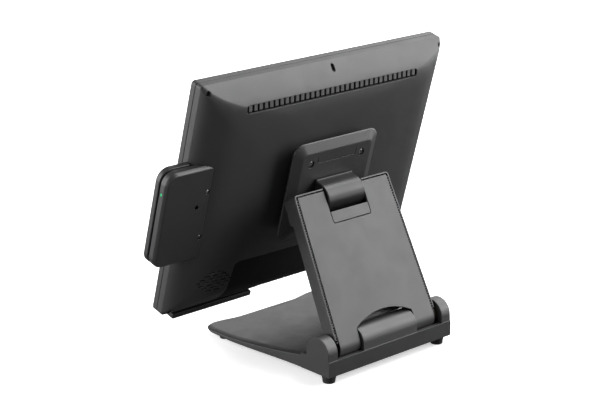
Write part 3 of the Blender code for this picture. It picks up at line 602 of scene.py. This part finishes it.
ARM_TOP = 166.6
ARM_HALF_TOP = 70.8
ARM_HALF_LOW = 76.6
ARM_CORNER = 4.0
TRAY_LOW = 6.0
TRAY_FRONT = -6.4
TRAY_REAR = 13.0
TRAY_EDGE = 0.7
THIN_FRONT = -2.0  # the tray's front face below THIN_TOP
THIN_TOP = 137.0
POCKET_FLOOR = 0.5
POCKET_LOW = 16
POCKET_CORNER = 2.4
COVER_SEAT = 7.6
COVER_FACE = 13.4
COVER_THICK = 2.4
COVER_EDGE = 4.4
COVER_TOP_GAP = 1.4
LIP_WIDTH = 1.7
NOTCH_HALF = 28.7
NOTCH_LOW = 140.7
NOTCH_CORNER = 3.0
PANEL_LOW = 126.1
PANEL_GAP = 0.9
PANEL_TOP_GAP = 1.2
PANEL_CORNER = 2.4
PANEL_EDGE = 0.25
PANEL_SWEEP = 19.0
ARCH_HALF = 41.8
ARCH_SIDE = 12.4
ARCH_CROWN = 23.2
SWEEP_HALF = 42.4
SWEEP_RADIUS = HUMP_RADIUS + 1.0
BARREL_INNER = 38.8
BARREL_OUTER = 77.0
BARREL_RADIUS = 10.4
UPPER_BORE = 5.3
UPPER_BORE_HALF = 52.3
KNUCKLE_SWEEP = 20.0
RUNGS = 55
RUNG_START = 3.0
RUNG_PITCH = 2.9
RUNG_HEIGHT = 1.15
RUNG_FRONT = 8.0
RUNG_REAR = 12.7
# The dark plates behind the arch: half width, front, rear and lower edge
BACKINGS = ((47.0, -7.4, -6.2, 16.35), (41.6, -1.9, -0.7, 17.5))
BACKING_TOP = 25.0
LOUVRES = (18.5, 20.1, 21.7)
LOUVRE_HALF = 41.6
LOUVRE_HEIGHT = 0.6
BEYOND = 30  # a cutter's end, well outside the arm


def arm_half(height):
    return ARM_HALF_LOW - (ARM_HALF_LOW - ARM_HALF_TOP) * height / ARM_TOP


def arm_outline(low, inset, corner):
    """The arm seen from behind: tapered, with round top corners."""
    top = ARM_TOP - inset
    centre = (arm_half(ARM_TOP) - inset - corner, top - corner)
    right = [(arm_half(low) - inset, low)] + arc(corner, 2, 90, centre, 10)
    return right + mirrored(right)


def arch_outline():
    rise = ARCH_CROWN - ARCH_SIDE
    radius = (ARCH_HALF ** 2 + rise ** 2) / (2 * rise)
    swing = math.degrees(math.asin(ARCH_HALF / radius))
    top = arc(radius, 90 - swing, 90 + swing, (0, ARCH_CROWN - radius), 48)
    return [(-ARCH_HALF, -40), (ARCH_HALF, -40)] + top


def notch_outline(half, low, high, corner):
    """Square above, with round lower corners."""
    return (arc(corner, 180, 270, (-half + corner, low + corner), 8)
            + arc(corner, -90, 0, (half - corner, low + corner), 8) + [(half, high), (-half, high)])


def arch_cutters():
    """The arch, and the room that the base's hump needs as the arm turns."""
    return [prism(arch_outline(), -BEYOND, BEYOND, "Y"),
            prism(circle(SWEEP_RADIUS, (0, 0), 72), -SWEEP_HALF, SWEEP_HALF, "X")]


def build_arm():
    tray = prism(arm_outline(TRAY_LOW, 0, ARM_CORNER), TRAY_FRONT, TRAY_REAR, "Y", TRAY_EDGE)
    cut(tray, prism(box_outline(-90, 90, -20, THIN_TOP), -BEYOND, THIN_FRONT, "Y"))
    barrels = []
    for low, high in both_sides(BARREL_INNER, BARREL_OUTER):
        profile = ((BARREL_RADIUS, low), (BARREL_RADIUS, high), (LOWER_BORE, high), (LOWER_BORE, low))
        barrels.append(turned(profile, (0, 0), "X", 64, True))
    join(tray, *barrels)
    cut(tray,
        prism(arm_outline(POCKET_LOW, LIP_WIDTH, POCKET_CORNER), POCKET_FLOOR, BEYOND, "Y"),
        prism(arm_outline(-BEYOND, LIP_WIDTH, POCKET_CORNER), COVER_SEAT, BEYOND, "Y"),
        prism(box_outline(-NOTCH_HALF, NOTCH_HALF, NOTCH_LOW - 2, ARM_TOP + 20), -BEYOND, BEYOND, "Y"),
        *arch_cutters(),
        prism(circle(UPPER_BORE, UPPER_AXIS, 40), -UPPER_BORE_HALF, UPPER_BORE_HALF, "X"),
        prism(circle(KNUCKLE_SWEEP, UPPER_AXIS, 72), -NOTCH_HALF, NOTCH_HALF, "X"))
    put(tray, "arm_tray", ARM, "arm", "arm_frame_plastic", "arm_frame")
    build_cover()
    build_ladder()
    build_arch_slats()


def cover_profile(pull):
    """The rear cover from the side, its outer face pulled in by a small amount."""
    inner, face = COVER_FACE - COVER_THICK, COVER_FACE - pull
    top = ARM_TOP - LIP_WIDTH - COVER_TOP_GAP - pull
    profile = [(inner, top), (face - 0.5, top), (face - 0.15, top - 0.15), (face, top - 0.5)]
    return profile + arc(face, 0, -100, (0, 0), 40) + arc(inner, -100, 0, (0, 0), 40)


def build_cover():
    """The rear cover, and the small access panel under its notch."""
    rings = [[(-(arm_half(z) - COVER_EDGE - edge), y, z) for y, z in cover_profile(pull)]
             for pull, edge in ROUND_STEPS]
    rings += [[(arm_half(z) - COVER_EDGE - edge, y, z) for y, z in cover_profile(pull)]
              for pull, edge in reversed(ROUND_STEPS)]
    cover = loft(rings)
    notch = notch_outline(NOTCH_HALF, PANEL_LOW, ARM_TOP + BEYOND, NOTCH_CORNER)
    cut(cover, prism(notch, -BEYOND, BEYOND, "Y"), *arch_cutters())
    put(cover, "arm_cover", ARM, "arm", "arm_cover_plastic", "arm_rear_cover")
    panel = notch_outline(NOTCH_HALF - PANEL_GAP, PANEL_LOW + PANEL_GAP, NOTCH_LOW - PANEL_TOP_GAP,
                          PANEL_CORNER)
    hatch = prism(panel, COVER_FACE - COVER_THICK, COVER_FACE, "Y", PANEL_EDGE)
    cut(hatch, prism(circle(PANEL_SWEEP, UPPER_AXIS, 72), -40, 40, "X"))
    put(hatch, "arm_hatch", ARM, "arm", "arm_cover_plastic", "hinge_access_panel")


def build_ladder():
    """Small ribs in the gap down both sides of the cover."""
    rungs = []
    for side in (0, 1):
        for number in range(RUNGS):
            z = RUNG_START + number * RUNG_PITCH
            low, high = both_sides(arm_half(z) - COVER_EDGE - 0.5, arm_half(z) - LIP_WIDTH + 0.1)[side]
            outline = box_outline(low, high, RUNG_FRONT, RUNG_REAR)
            rungs.append(prism(outline, z, z + RUNG_HEIGHT, "Z", 0.2))
    put(merge(rungs), "arm_ladder", ARM, "arm", "arm_frame_plastic")


def build_arch_slats():
    """The plates that close the arch from the front, and three louvres in it."""
    slats = [prism(box_outline(-half, half, front, rear), low, BACKING_TOP, "Z", 0.2)
             for half, front, rear, low in BACKINGS]
    louvre = box_outline(-LOUVRE_HALF, LOUVRE_HALF, -0.8, 1.6)
    slats += [prism(louvre, z, z + LOUVRE_HEIGHT, "Z", 0.15) for z in LOUVRES]
    put(merge(slats), "arch_slats", ARM, "arm", "arm_frame_plastic")


# ---------------------------------------------------------------- screen

CASE_WIDTH = 355.0
CASE_HEIGHT = 281.0
CASE_CORNER = 4.0
CORNER_GROWTH = 0.5
SEAM_DEPTH = 7.2
GAP = 0.3
SHELL_WALL = 2.5
# The rear shell's contour lines: distance inside its side edges, inside its upper and lower edges, depth
CROWN_LINES = ((0, 0, 15.3), (2.4, 3, 19.2), (5.5, 6.4, 22.9), (9.5, 10, 26.2), (15, 14, 29.4),
               (22, 18, 32.3), (30, 22.5, 35.0), (40, 27, 36.8), (52, 31, 38.0), (72, 42, 39.6),
               (90, 58, 40.5), (108, 78, 41))
CROWN_STEPS = 4
VENT_SLOTS = 34
VENT_PITCH = 7.33
VENT_LOW = 249.5
VENT_HIGH = 258.3
VENT_BAR_WIDTH = 4.7
VENT_BAR_THICK = 1.3
SPEAKER_CENTRE = (127.6, 44.2)
SPEAKER_PITCH = (11.0, 3.9)
SPEAKER_ROWS = (2, 3, 4, 5, 4, 3, 2)
SPEAKER_SLOT_HALF = 3.6
SPEAKER_END_SLOT_HALF = 2.2
BAY_HALF_TOP = 104.3
BAY_HALF_LOW = 111.5
BAY_TOP = 63.0
BAY_CORNER = 8.0
BAY_GAP = 0.4
CABLE_EXIT = box_outline(-46, 46, 9.5, 30)
LOCK_SLOT = rounded_box(-5.6, -0.8, 270.9, 278.1, 2.3)
LOCK_DEPTH = 14
CLEARANCE = 0.4
BUTTON_WELL = (8.2, 14.8, 32, 48)
BUTTON_CORNER = 2
BUTTON_FACE = -178.1
BUTTON_BACK = -172.0
WINDOW = (-153, 153, 25.5, 255.5)
WINDOW_SLOPE = 1.2
WINDOW_DEPTH = 2.2
PANE_RECESS = (-166, 166, 12.5, 268.5)
PANE_CORNER = 3
PANE_FRONT = 2.9
PANE_REAR = 5.9
PLATE_HALF = 62.2
PLATE_LOW = 86.2
PLATE_HIGH = 206.4
PLATE_CORNER = 13
PLATE_FACE = 58.8
PLATE_EDGE = 54.3
PLATE_BACK = 45.5
GROOVE_DEPTH = 0.9
GROOVE_OUTER = rounded_box(-28.5, 28.5, 181.2, 190.6, 1.9)
GROOVE_INNER = rounded_box(-27.8, 27.8, 181.9, 192.0, 1.4)
SCREW_CENTRE = 144.2
SCREW_REACH = 37.5
SCREW_SPOTS = (("top_left", -1, 1), ("top_right", 1, 1), ("low_left", -1, -1), ("low_right", 1, -1))
PLATE_SCREW_RADIUS = 3.2
PLATE_SCREW_WELL = 4.3
SMALL_SCREW_RADIUS = 2.3
CORNER_SCREW_X = 170.5
CORNER_SCREW_HEIGHTS = {1: 274.1, -1: 6.9}
CORNER_SCREW_TOP = 19.4
CORNER_SCREW_WELL = 2.8
KNUCKLE_HALF = 27.0
KNUCKLE_RADIUS = 18.0
KNUCKLE_EDGE = 1.0
KNUCKLE_WALL = 2.6
KNUCKLE_POCKET = 2.2
FLANGE_HEIGHT = 3.0
RAIL_INNER = 49.5
RAIL_OUTER = 163
RAIL_LOW = -6.6
RAIL_FRONT = 9
RAIL_REAR = 19.5


def curve_value(before, here, after, beyond, share):
    """A share of the way from here to after, on a smooth curve through four values."""
    return 0.5 * (2 * here + (after - before) * share
                  + (2 * before - 5 * here + 4 * after - beyond) * share ** 2
                  + (3 * here - before - 3 * after + beyond) * share ** 3)


def smooth_lines(lines, steps):
    """The contour lines with a smooth curve through them, its crease at the first line kept."""
    rows = [lines[0]]
    for i in range(len(lines) - 1):
        four = (lines[max(i - 1, 0)], lines[i], lines[i + 1], lines[min(i + 2, len(lines) - 1)])
        for step in range(1, steps + 1):
            rows.append(tuple(curve_value(*values, step / steps) for values in zip(*four)))
    return rows


CROWN = smooth_lines(CROWN_LINES, CROWN_STEPS)


def crown_depth(end):
    """The shell's depth at a distance inside its upper edge."""
    for (_, start, low), (_, stop, high) in zip(CROWN, CROWN[1:]):
        if end <= stop:
            return low + (high - low) * (end - start) / (stop - start)
    return CROWN[-1][2]


def case_ring(side, end, depth):
    """The case's outline at one depth, moved in from its side edges and its upper and lower edges."""
    radius = CASE_CORNER + CORNER_GROWTH * max(side, 0.0)
    outline = rounded_box(-CASE_WIDTH / 2 + side, CASE_WIDTH / 2 - side, end, CASE_HEIGHT - end, radius, 12)
    return [(x, depth, z) for x, z in outline]


def crown(shrink, front):
    """The rear shell's outer volume, moved inwards by shrink, from a front depth rearwards."""
    rings = [case_ring(shrink, shrink, front)]
    if shrink == 0:
        rings = [case_ring(inset, inset, front + depth) for inset, depth in ROUND_STEPS]
    rings += [case_ring(side + shrink, end + shrink, depth - shrink) for side, end, depth in CROWN]
    return loft(rings[::-1])


def crown_hollow():
    return crown(SHELL_WALL, SEAM_DEPTH - 5)


def bay_outline(widen):
    corner = BAY_CORNER + widen
    half_top, half_low = BAY_HALF_TOP + widen, BAY_HALF_LOW + widen
    right = [(half_low, -20)] + arc(corner, 5, 90, (half_top - corner, BAY_TOP + widen - corner), 14)
    return right + mirrored(right)


def smaller_box(sides, corner):
    """A rounded box inside another one, with the clearance all round."""
    left, right, low, high = sides
    return rounded_box(left + CLEARANCE, right - CLEARANCE, low + CLEARANCE, high - CLEARANCE,
                       corner - CLEARANCE)


def speaker_slots():
    """Short dashes in staggered rows inside an oval, through the shell."""
    slots = []
    centre_x, centre_z = SPEAKER_CENTRE
    pitch_x, pitch_z = SPEAKER_PITCH
    middle_row = len(SPEAKER_ROWS) // 2
    for sign in (1, -1):
        for row, count in enumerate(SPEAKER_ROWS):
            for column in range(count):
                x = centre_x + (column - (count - 1) / 2) * pitch_x
                at_end = count == max(SPEAKER_ROWS) and column in (0, count - 1)
                half = SPEAKER_END_SLOT_HALF if at_end else SPEAKER_SLOT_HALF
                x -= math.copysign(SPEAKER_SLOT_HALF - half, x - centre_x)
                outline = rounded_box(-half, half, -0.75, 0.75, 0.7, 4)
                outline = [(sign * x + a, centre_z + (row - middle_row) * pitch_z + b) for a, b in outline]
                slots.append(prism(outline, 24, 46, "Y"))
    return merge(slots)


def build_case():
    shell = crown(0.0, SEAM_DEPTH + 2 * GAP)
    half = VENT_SLOTS * VENT_PITCH / 2 + 1.4
    cut(shell, crown_hollow())
    cut(shell,
        prism(rounded_box(-half, half, VENT_LOW, VENT_HIGH, 3.0), 20, 50, "Y"),
        prism(bay_outline(BAY_GAP), 24, 60, "Y"),
        prism(CABLE_EXIT, -20, 12, "Z"),
        prism(LOCK_SLOT, LOCK_DEPTH, 40, "Y"),
        prism(rounded_box(*BUTTON_WELL, BUTTON_CORNER), -190, -160, "X"))
    wells = [prism(circle(CORNER_SCREW_WELL, place, 32), 10, 50, "Y") for _, place in corner_screws()]
    wells += [prism(circle(3.0, (READER_SCREW_X, z), 32), 20, 50, "Y") for _, z in READER_SCREWS]
    cut(shell, merge(wells))
    cut(shell, speaker_slots())
    put(shell, "case_back", CASE, "screen", "case_plastic", "rear_shell")
    # The cable bay cover takes the near-black material, which paints the shade lying on it
    cover = crown(0.0, SEAM_DEPTH + GAP)
    keep_inside(cover, prism(bay_outline(0.0), 24.6, 60, "Y"))
    cut(cover, crown_hollow())
    put(cover, "cable_bay_cover", CASE, "screen", "io_cover_plastic", "io_cover")
    build_vent()
    build_front()


def build_vent():
    """Sloping bars between the slots, and a near-black sheet under and behind them that paints the shade of
    the recess.
    """
    bars = []
    low, high = VENT_LOW + 1.9, VENT_HIGH + 0.4
    face_low, face_high = crown_depth(CASE_HEIGHT - low) - 1.3, crown_depth(CASE_HEIGHT - high) - 0.4
    outline = [(face_low - VENT_BAR_THICK, low), (face_low, low), (face_high, high),
               (face_high - VENT_BAR_THICK, high)]
    for number in range(VENT_SLOTS):
        middle = (number - (VENT_SLOTS - 1) / 2) * VENT_PITCH
        bars.append(prism(outline, middle - VENT_BAR_WIDTH / 2, middle + VENT_BAR_WIDTH / 2, "X", 0.3))
    put(merge(bars), "vent_bars", CASE, "screen", "vent_plastic", "vent_grille")
    half = VENT_SLOTS * VENT_PITCH / 2 + 6.0
    # A near-black sheet behind the slots and under the bars: painted shade for the vent's recess
    shade_sheet_outline = [(24, VENT_LOW - 6), (28, VENT_LOW - 6), (29.5, VENT_HIGH + 2), (26, VENT_HIGH + 2)]
    put(prism(shade_sheet_outline, -half, half, "X", 0.3), "vent_painted_shade_liner", CASE, "screen", "io_cover_plastic")


def build_front():
    """The bezel with a sloped inner edge, and the touch glass behind it."""
    levels = ((0.9, 0), (0.45, 0.12), (0.12, 0.45), (0, 0.9), (0, SEAM_DEPTH - 0.4),
              (0.12, SEAM_DEPTH - 0.12), (0.4, SEAM_DEPTH))
    bezel = loft([case_ring(inset, inset, depth) for inset, depth in levels][::-1])
    left, right, low, high = WINDOW
    outer, inner = [rounded_box(left - grow, right + grow, low - grow, high + grow, 1 + grow, 6)
                    for grow in (WINDOW_SLOPE, 0.0)]
    slope = loft([[(x, -0.01, z) for x, z in outer], [(x, WINDOW_DEPTH, z) for x, z in inner],
                  [(x, 20, z) for x, z in inner]])
    cut(bezel, slope)
    cut(bezel, prism(rounded_box(*PANE_RECESS, PANE_CORNER), PANE_FRONT - GAP, 20, "Y"))
    put(bezel, "front_frame", CASE, "screen", "bezel_plastic", "front_bezel")
    pane = prism(smaller_box(PANE_RECESS, PANE_CORNER), PANE_FRONT, PANE_REAR, "Y", 0.3)
    put(pane, "touch_pane", CASE, "screen", "glass_black", "touch_glass")


def screw(name, x, z, top, radius, *nodes):
    """A pan-head screw with a cross recess, its head's top at the given depth."""
    profile = ((radius * 0.5, top - 7), (radius * 0.5, top - 1.8), (radius * 0.96, top - 1.8),
               (radius, top - 1.6), (radius, top - 0.75), (radius * 0.93, top - 0.35),
               (radius * 0.8, top - 0.12), (radius * 0.6, top))
    solid = turned(profile, (x, z), "Y", 32)
    reach, arm = radius * 0.6, radius * 0.15
    cross = [(reach, arm), (arm, arm), (arm, reach), (-arm, reach), (-arm, arm), (-reach, arm),
             (-reach, -arm), (-arm, -arm), (-arm, -reach), (arm, -reach), (arm, -arm), (reach, -arm)]
    turn = math.radians(31 * (abs(x) + z) % 90)
    cross = [(x + a * math.cos(turn) - b * math.sin(turn), z + a * math.sin(turn) + b * math.cos(turn))
             for a, b in cross]
    cut(solid, prism(cross, top - 0.9, top + 1, "Y"))
    put(solid, name, CASE, "screen", "screw_steel", *nodes)


def corner_screws():
    return [(spot, (across * CORNER_SCREW_X, CORNER_SCREW_HEIGHTS[up])) for spot, across, up in SCREW_SPOTS]


def build_corner_screws():
    for spot, (x, z) in corner_screws():
        screw(f"case_bolt_{spot}", x, z, CORNER_SCREW_TOP, SMALL_SCREW_RADIUS, f"case_screw_{spot}")


def plate_ring(inset, depth):
    outline = rounded_box(-PLATE_HALF + inset, PLATE_HALF - inset, PLATE_LOW + inset, PLATE_HIGH - inset,
                          max(PLATE_CORNER - 0.6 * inset, 3), 14)
    return [(x, depth, z) for x, z in outline]


def build_plate():
    """The plate with its sloping sides, the groove of its latch and its four screws."""
    slope = PLATE_FACE - PLATE_EDGE
    levels = [(7.5, PLATE_BACK), (6.8, PLATE_BACK + 0.3), (6.5, PLATE_BACK + 1), (1.0, PLATE_EDGE - 2),
              (0.3, PLATE_EDGE - 1.4), (0, PLATE_EDGE - 0.9), (0, PLATE_EDGE - 0.6),
              (0.15, PLATE_EDGE - 0.25), (0.5, PLATE_EDGE + 0.05), (1.0, PLATE_EDGE + 0.3),
              (10.2, PLATE_FACE - slope * 0.1), (10.9, PLATE_FACE - 0.16), (11.6, PLATE_FACE - 0.03),
              (12.4, PLATE_FACE)]
    plate = loft([plate_ring(inset, depth) for inset, depth in levels])
    groove = prism(GROOVE_OUTER, PLATE_FACE - GROOVE_DEPTH, 80, "Y")
    cut(groove, prism(GROOVE_INNER, 50, 90, "Y"))
    cut(plate, groove)
    spots = [(name, across * SCREW_REACH, SCREW_CENTRE + up * SCREW_REACH)
             for name, across, up in SCREW_SPOTS]
    wells = [prism(circle(PLATE_SCREW_WELL, (x, z), 40), PLATE_FACE - 3.0, 80, "Y") for _, x, z in spots]
    cut(plate, merge(wells))
    put(plate, "stand_plate", CASE, "screen", "plate_plastic", "mount_plate")
    for name, x, z in spots:
        screw(f"plate_bolt_{name}", x, z, PLATE_FACE - 0.9, PLATE_SCREW_RADIUS, f"plate_screw_{name}")


def build_knuckle():
    """The block that leaves the plate level and turns down over the upper shaft."""
    y, z = AXIS_IN_CASE
    face = PLATE_FACE + GAP
    outline = ([(face, z + KNUCKLE_RADIUS)] + arc(KNUCKLE_RADIUS, 90, -110, (y, z), 60)
               + [(face, z - 14)])
    knuckle = prism(outline[::-1], -KNUCKLE_HALF, KNUCKLE_HALF, "X", KNUCKLE_EDGE, 4)
    inner = KNUCKLE_RADIUS - KNUCKLE_WALL
    outline = [(face - 5, z + inner)] + arc(inner, 90, -120, (y, z), 40) + [(face - 5, z - 22)]
    pockets = [prism(outline[::-1], low, high, "X")
               for low, high in both_sides(KNUCKLE_HALF - KNUCKLE_POCKET, KNUCKLE_HALF + 5)]
    cut(knuckle, merge(pockets))
    flange = rounded_box(-KNUCKLE_HALF, KNUCKLE_HALF, z + KNUCKLE_RADIUS - 2.2, z + KNUCKLE_RADIUS + 1.6,
                         1.0, 6)
    join(knuckle, prism(flange, face - 0.2, face + FLANGE_HEIGHT, "Y", 0.9))
    cut(knuckle, prism(circle(UPPER_BORE, (y, z), 40), -40, 40, "X"))
    put(knuckle, "hinge_block", CASE, "screen", "knuckle_plastic", "hinge_knuckle")


def build_rails():
    for side, (low, high) in zip(("left", "right"), both_sides(RAIL_INNER, RAIL_OUTER)):
        rail = prism(rounded_box(low, high, RAIL_LOW, -GAP, 1.5, 6), RAIL_FRONT, RAIL_REAR, "Y", 0.7)
        put(rail, f"case_rail_{side}", CASE, "screen", "rail_plastic", f"bottom_rail_{side}")


def build_button():
    cap = prism(smaller_box(BUTTON_WELL, BUTTON_CORNER), BUTTON_FACE, BUTTON_BACK, "X", 0.5)
    put(cap, "power_key", CASE, "power_button", "button_plastic", "power_button")


# ---------------------------------------------------------------- card reader

READER_LOW = 77.8
READER_HIGH = 192.6
READER_LEFT = 154.0
READER_OUTER = 216.0
READER_CORNER = 14.0
READER_FRONT = 13.6
READER_REAR = 33.0
READER_WALL = 2.4
READER_SCREW_X = 157.9
READER_SCREWS = (("top", 161.4), ("low", 105.5))
READER_SCREW_WELL = 3.1
SLOT_FRONT = 20.4
SLOT_REAR = 22.9
SLOT_FLOOR = 202.0
BOARD_ROOM = box_outline(184, SLOT_FLOOR - 2, READER_LOW + 8, READER_HIGH - 8)
HEAD_ROOM = box_outline(SLOT_FLOOR + 2, SLOT_FLOOR + 10, 126, 146)
BACK_HOLE = (169.5, 144.8)
BACK_HOLE_RADIUS = 2.7
LENS_WELL = box_outline(24.4, 27.4, 165.2, 169.2)
LENS = rounded_box(24.7, 27.1, 165.5, 168.9, 0.9, 6)


def reader_outline(left, inset=0.0):
    radius = READER_CORNER - inset
    right, low, high = READER_OUTER - inset, READER_LOW + inset, READER_HIGH - inset
    points = [(left, low)] + arc(radius, -90, 0, (right - radius, low + radius), 18)
    return points + arc(radius, 0, 90, (right - radius, high - radius), 18) + [(left, high)]


def build_reader():
    """The two covers of the reader with the card slot between them, its lens and its screws."""
    levels = ((SLOT_REAR, 0.7), (SLOT_REAR + 0.2, 0.2), (SLOT_REAR + 0.7, 0.0), (READER_REAR - 3.4, 0.0),
              (READER_REAR - 3.1, 0.3), (READER_REAR - 2.9, 0.45), (READER_REAR - 2.4, 0.6),
              (READER_REAR - 0.7, 2.0), (READER_REAR - 0.2, 2.6), (READER_REAR, 3.4))
    rear = loft([[(x, y, z) for x, z in reader_outline(READER_LEFT, inset)] for y, inset in levels])
    bridge = box_outline(182, SLOT_FLOOR, READER_LOW + 4, READER_HIGH - 4)
    join(rear, prism(bridge, SLOT_FRONT + GAP, 26, "Y"))
    tools = [crown(-CLEARANCE, SEAM_DEPTH),
             prism(BOARD_ROOM, 10, READER_REAR - READER_WALL, "Y"),
             prism(HEAD_ROOM, 10, READER_REAR - READER_WALL, "Y"),
             prism(circle(BACK_HOLE_RADIUS, BACK_HOLE, 32), 28.0, 50, "Y"),
             prism(LENS_WELL, 210, 230, "X")]
    tools += [prism(circle(READER_SCREW_WELL, (READER_SCREW_X, z), 32), 20, 50, "Y")
              for _, z in READER_SCREWS]
    cut(rear, *tools)
    put(rear, "reader_back", CASE, "screen", "reader_plastic", "reader_rear_cover")
    front = prism(reader_outline(CASE_WIDTH / 2 + 0.6), READER_FRONT, SLOT_FRONT, "Y", 1.2, 5)
    cut(front, prism(BOARD_ROOM, 17, 40, "Y"))
    put(front, "reader_front", CASE, "screen", "reader_plastic", "reader_front_cover")
    lens = prism(LENS, 212.5, 215.9, "X", 0.3)
    put(lens, "reader_lamp", CASE, "screen", "reader_lens_green", "reader_status_lens")
    for name, z in READER_SCREWS:
        screw(f"reader_bolt_{name}", READER_SCREW_X, z, READER_REAR - 0.7, SMALL_SCREW_RADIUS,
              f"reader_screw_{name}")


def dress_cad_nodes():
    """The carried-over CAD pieces take the look of their slot."""
    for part in frame["record"]["subparts"]:
        node = frame["nodes"][part["node"]]
        node.data.materials.clear()
        node.data.materials.append(SLOTS[part["material_slot"]])


# ---------------------------------------------------------------- stage, in metres

FLOOR_HALF = 6.0
# The floor's own light grows from the glow to 1 between these distances from the object
FLOOR_NEAR = 0.5
FLOOR_FAR = 1.4
FLOOR_GLOW = 0.5
WORLD_GLOW = 0.12
# Each soft box's elevation, bearing, width and power
SOFT_BOXES = {"low_left_front": (16, 324, 2.4, 62), "low_right": (19, 180, 2.5, 60),
              "low_left": (6, 0, 1.3, 26), "rear_right": (30, 135, 1.2, 30),
              "low_rear_right": (6, 144, 1.3, 22), "overhead": (62, 165, 1.2, 40),
              "low_front": (20, 227, 1.3, 8)}
SOFT_BOX_DISTANCE = 2.2
SOFT_BOX_TARGET = (0.0, 0.0, 0.15)
CAMERA_PLACE = (1.3238, 1.4252, 0.7782)
CAMERA_AZIMUTH = 42.47
CAMERA_ELEVATION = 17.43
CAMERA_LENS = 111.3


def build_floor():
    """A white floor that lightens away from the object and throws no light back on it."""
    work = bmesh.new()
    bmesh.ops.create_grid(work, x_segments=8, y_segments=8, size=FLOOR_HALF)
    mesh = bpy.data.meshes.new("floor")
    work.to_mesh(mesh)
    work.free()
    floor = bpy.data.objects.new("floor", mesh)
    bpy.context.scene.collection.objects.link(floor)
    paint = Paint("floor_white")
    cloud = paint.noise(1.5, 2.0, 0.5)
    far = paint.add("VectorMath", {0: paint.place}, operation="LENGTH").outputs["Value"]
    glow = paint.span(far, FLOOR_NEAR, FLOOR_FAR, FLOOR_GLOW, 1.0)
    paint.set(Base_Color=paint.blend(cloud, (0.9, 0.9, 0.9, 1.0), (0.93, 0.93, 0.93, 1.0)), Roughness=0.9,
              Emission_Color=WHITE, Emission_Strength=glow, Specular_IOR_Level=0.1)
    mesh.materials.append(paint.material)
    floor.visible_diffuse = False
    floor.visible_glossy = False


def build_world():
    """A dim world to light the object, which the camera sees as a white background."""
    world = bpy.data.worlds.new("studio")
    bpy.context.scene.world = world
    world.use_nodes = True
    tree = world.node_tree
    dim = tree.nodes["Background"]
    bright = tree.nodes.new("ShaderNodeBackground")
    dim.inputs["Strength"].default_value = WORLD_GLOW
    for background in (dim, bright):
        background.inputs["Color"].default_value = WHITE
    choose = tree.nodes.new("ShaderNodeMixShader")
    kind = tree.nodes.new("ShaderNodeLightPath")
    tree.links.new(kind.outputs["Is Camera Ray"], choose.inputs["Fac"])
    tree.links.new(dim.outputs["Background"], choose.inputs[1])
    tree.links.new(bright.outputs["Background"], choose.inputs[2])
    tree.links.new(choose.outputs["Shader"], tree.nodes["World Output"].inputs["Surface"])


def build_soft_box(name, elevation, bearing, width, power):
    lamp = bpy.data.lights.new(name, "AREA")
    lamp.shape = "RECTANGLE"
    lamp.size = width
    lamp.size_y = width
    lamp.energy = power
    holder = bpy.data.objects.new(name, lamp)
    bpy.context.scene.collection.objects.link(holder)
    rise, turn = math.radians(elevation), math.radians(bearing)
    back = Vector((math.cos(rise) * math.cos(turn), math.cos(rise) * math.sin(turn), math.sin(rise)))
    back.normalize()
    holder.location = Vector(SOFT_BOX_TARGET) + back * SOFT_BOX_DISTANCE
    holder.rotation_mode = "QUATERNION"
    holder.rotation_quaternion = back.to_track_quat("Z", "Y")
    holder.visible_camera = False


def build_camera():
    data = bpy.data.cameras.new("camera")
    data.sensor_width = 36.0
    data.lens = CAMERA_LENS
    data.clip_start = 0.05
    data.clip_end = 50.0
    camera = bpy.data.objects.new("camera", data)
    bpy.context.scene.collection.objects.link(camera)
    azimuth, elevation = math.radians(CAMERA_AZIMUTH), math.radians(CAMERA_ELEVATION)
    back = Vector((math.sin(azimuth) * math.cos(elevation), math.cos(azimuth) * math.cos(elevation),
                   math.sin(elevation)))
    camera.location = CAMERA_PLACE
    camera.rotation_mode = "QUATERNION"
    camera.rotation_quaternion = (-back).to_track_quat("-Z", "Y")
    bpy.context.scene.camera = camera


def build_stage():
    build_floor()
    build_world()
    for name, setting in SOFT_BOXES.items():
        build_soft_box(name, *setting)
    bpy.context.scene.view_settings.view_transform = "Standard"
    bpy.context.scene.view_settings.look = "None"
    build_camera()


dress_cad_nodes()
build_base()
build_arm()
build_case()
build_plate()
build_knuckle()
build_rails()
build_corner_screws()
build_reader()
build_button()
build_stage()
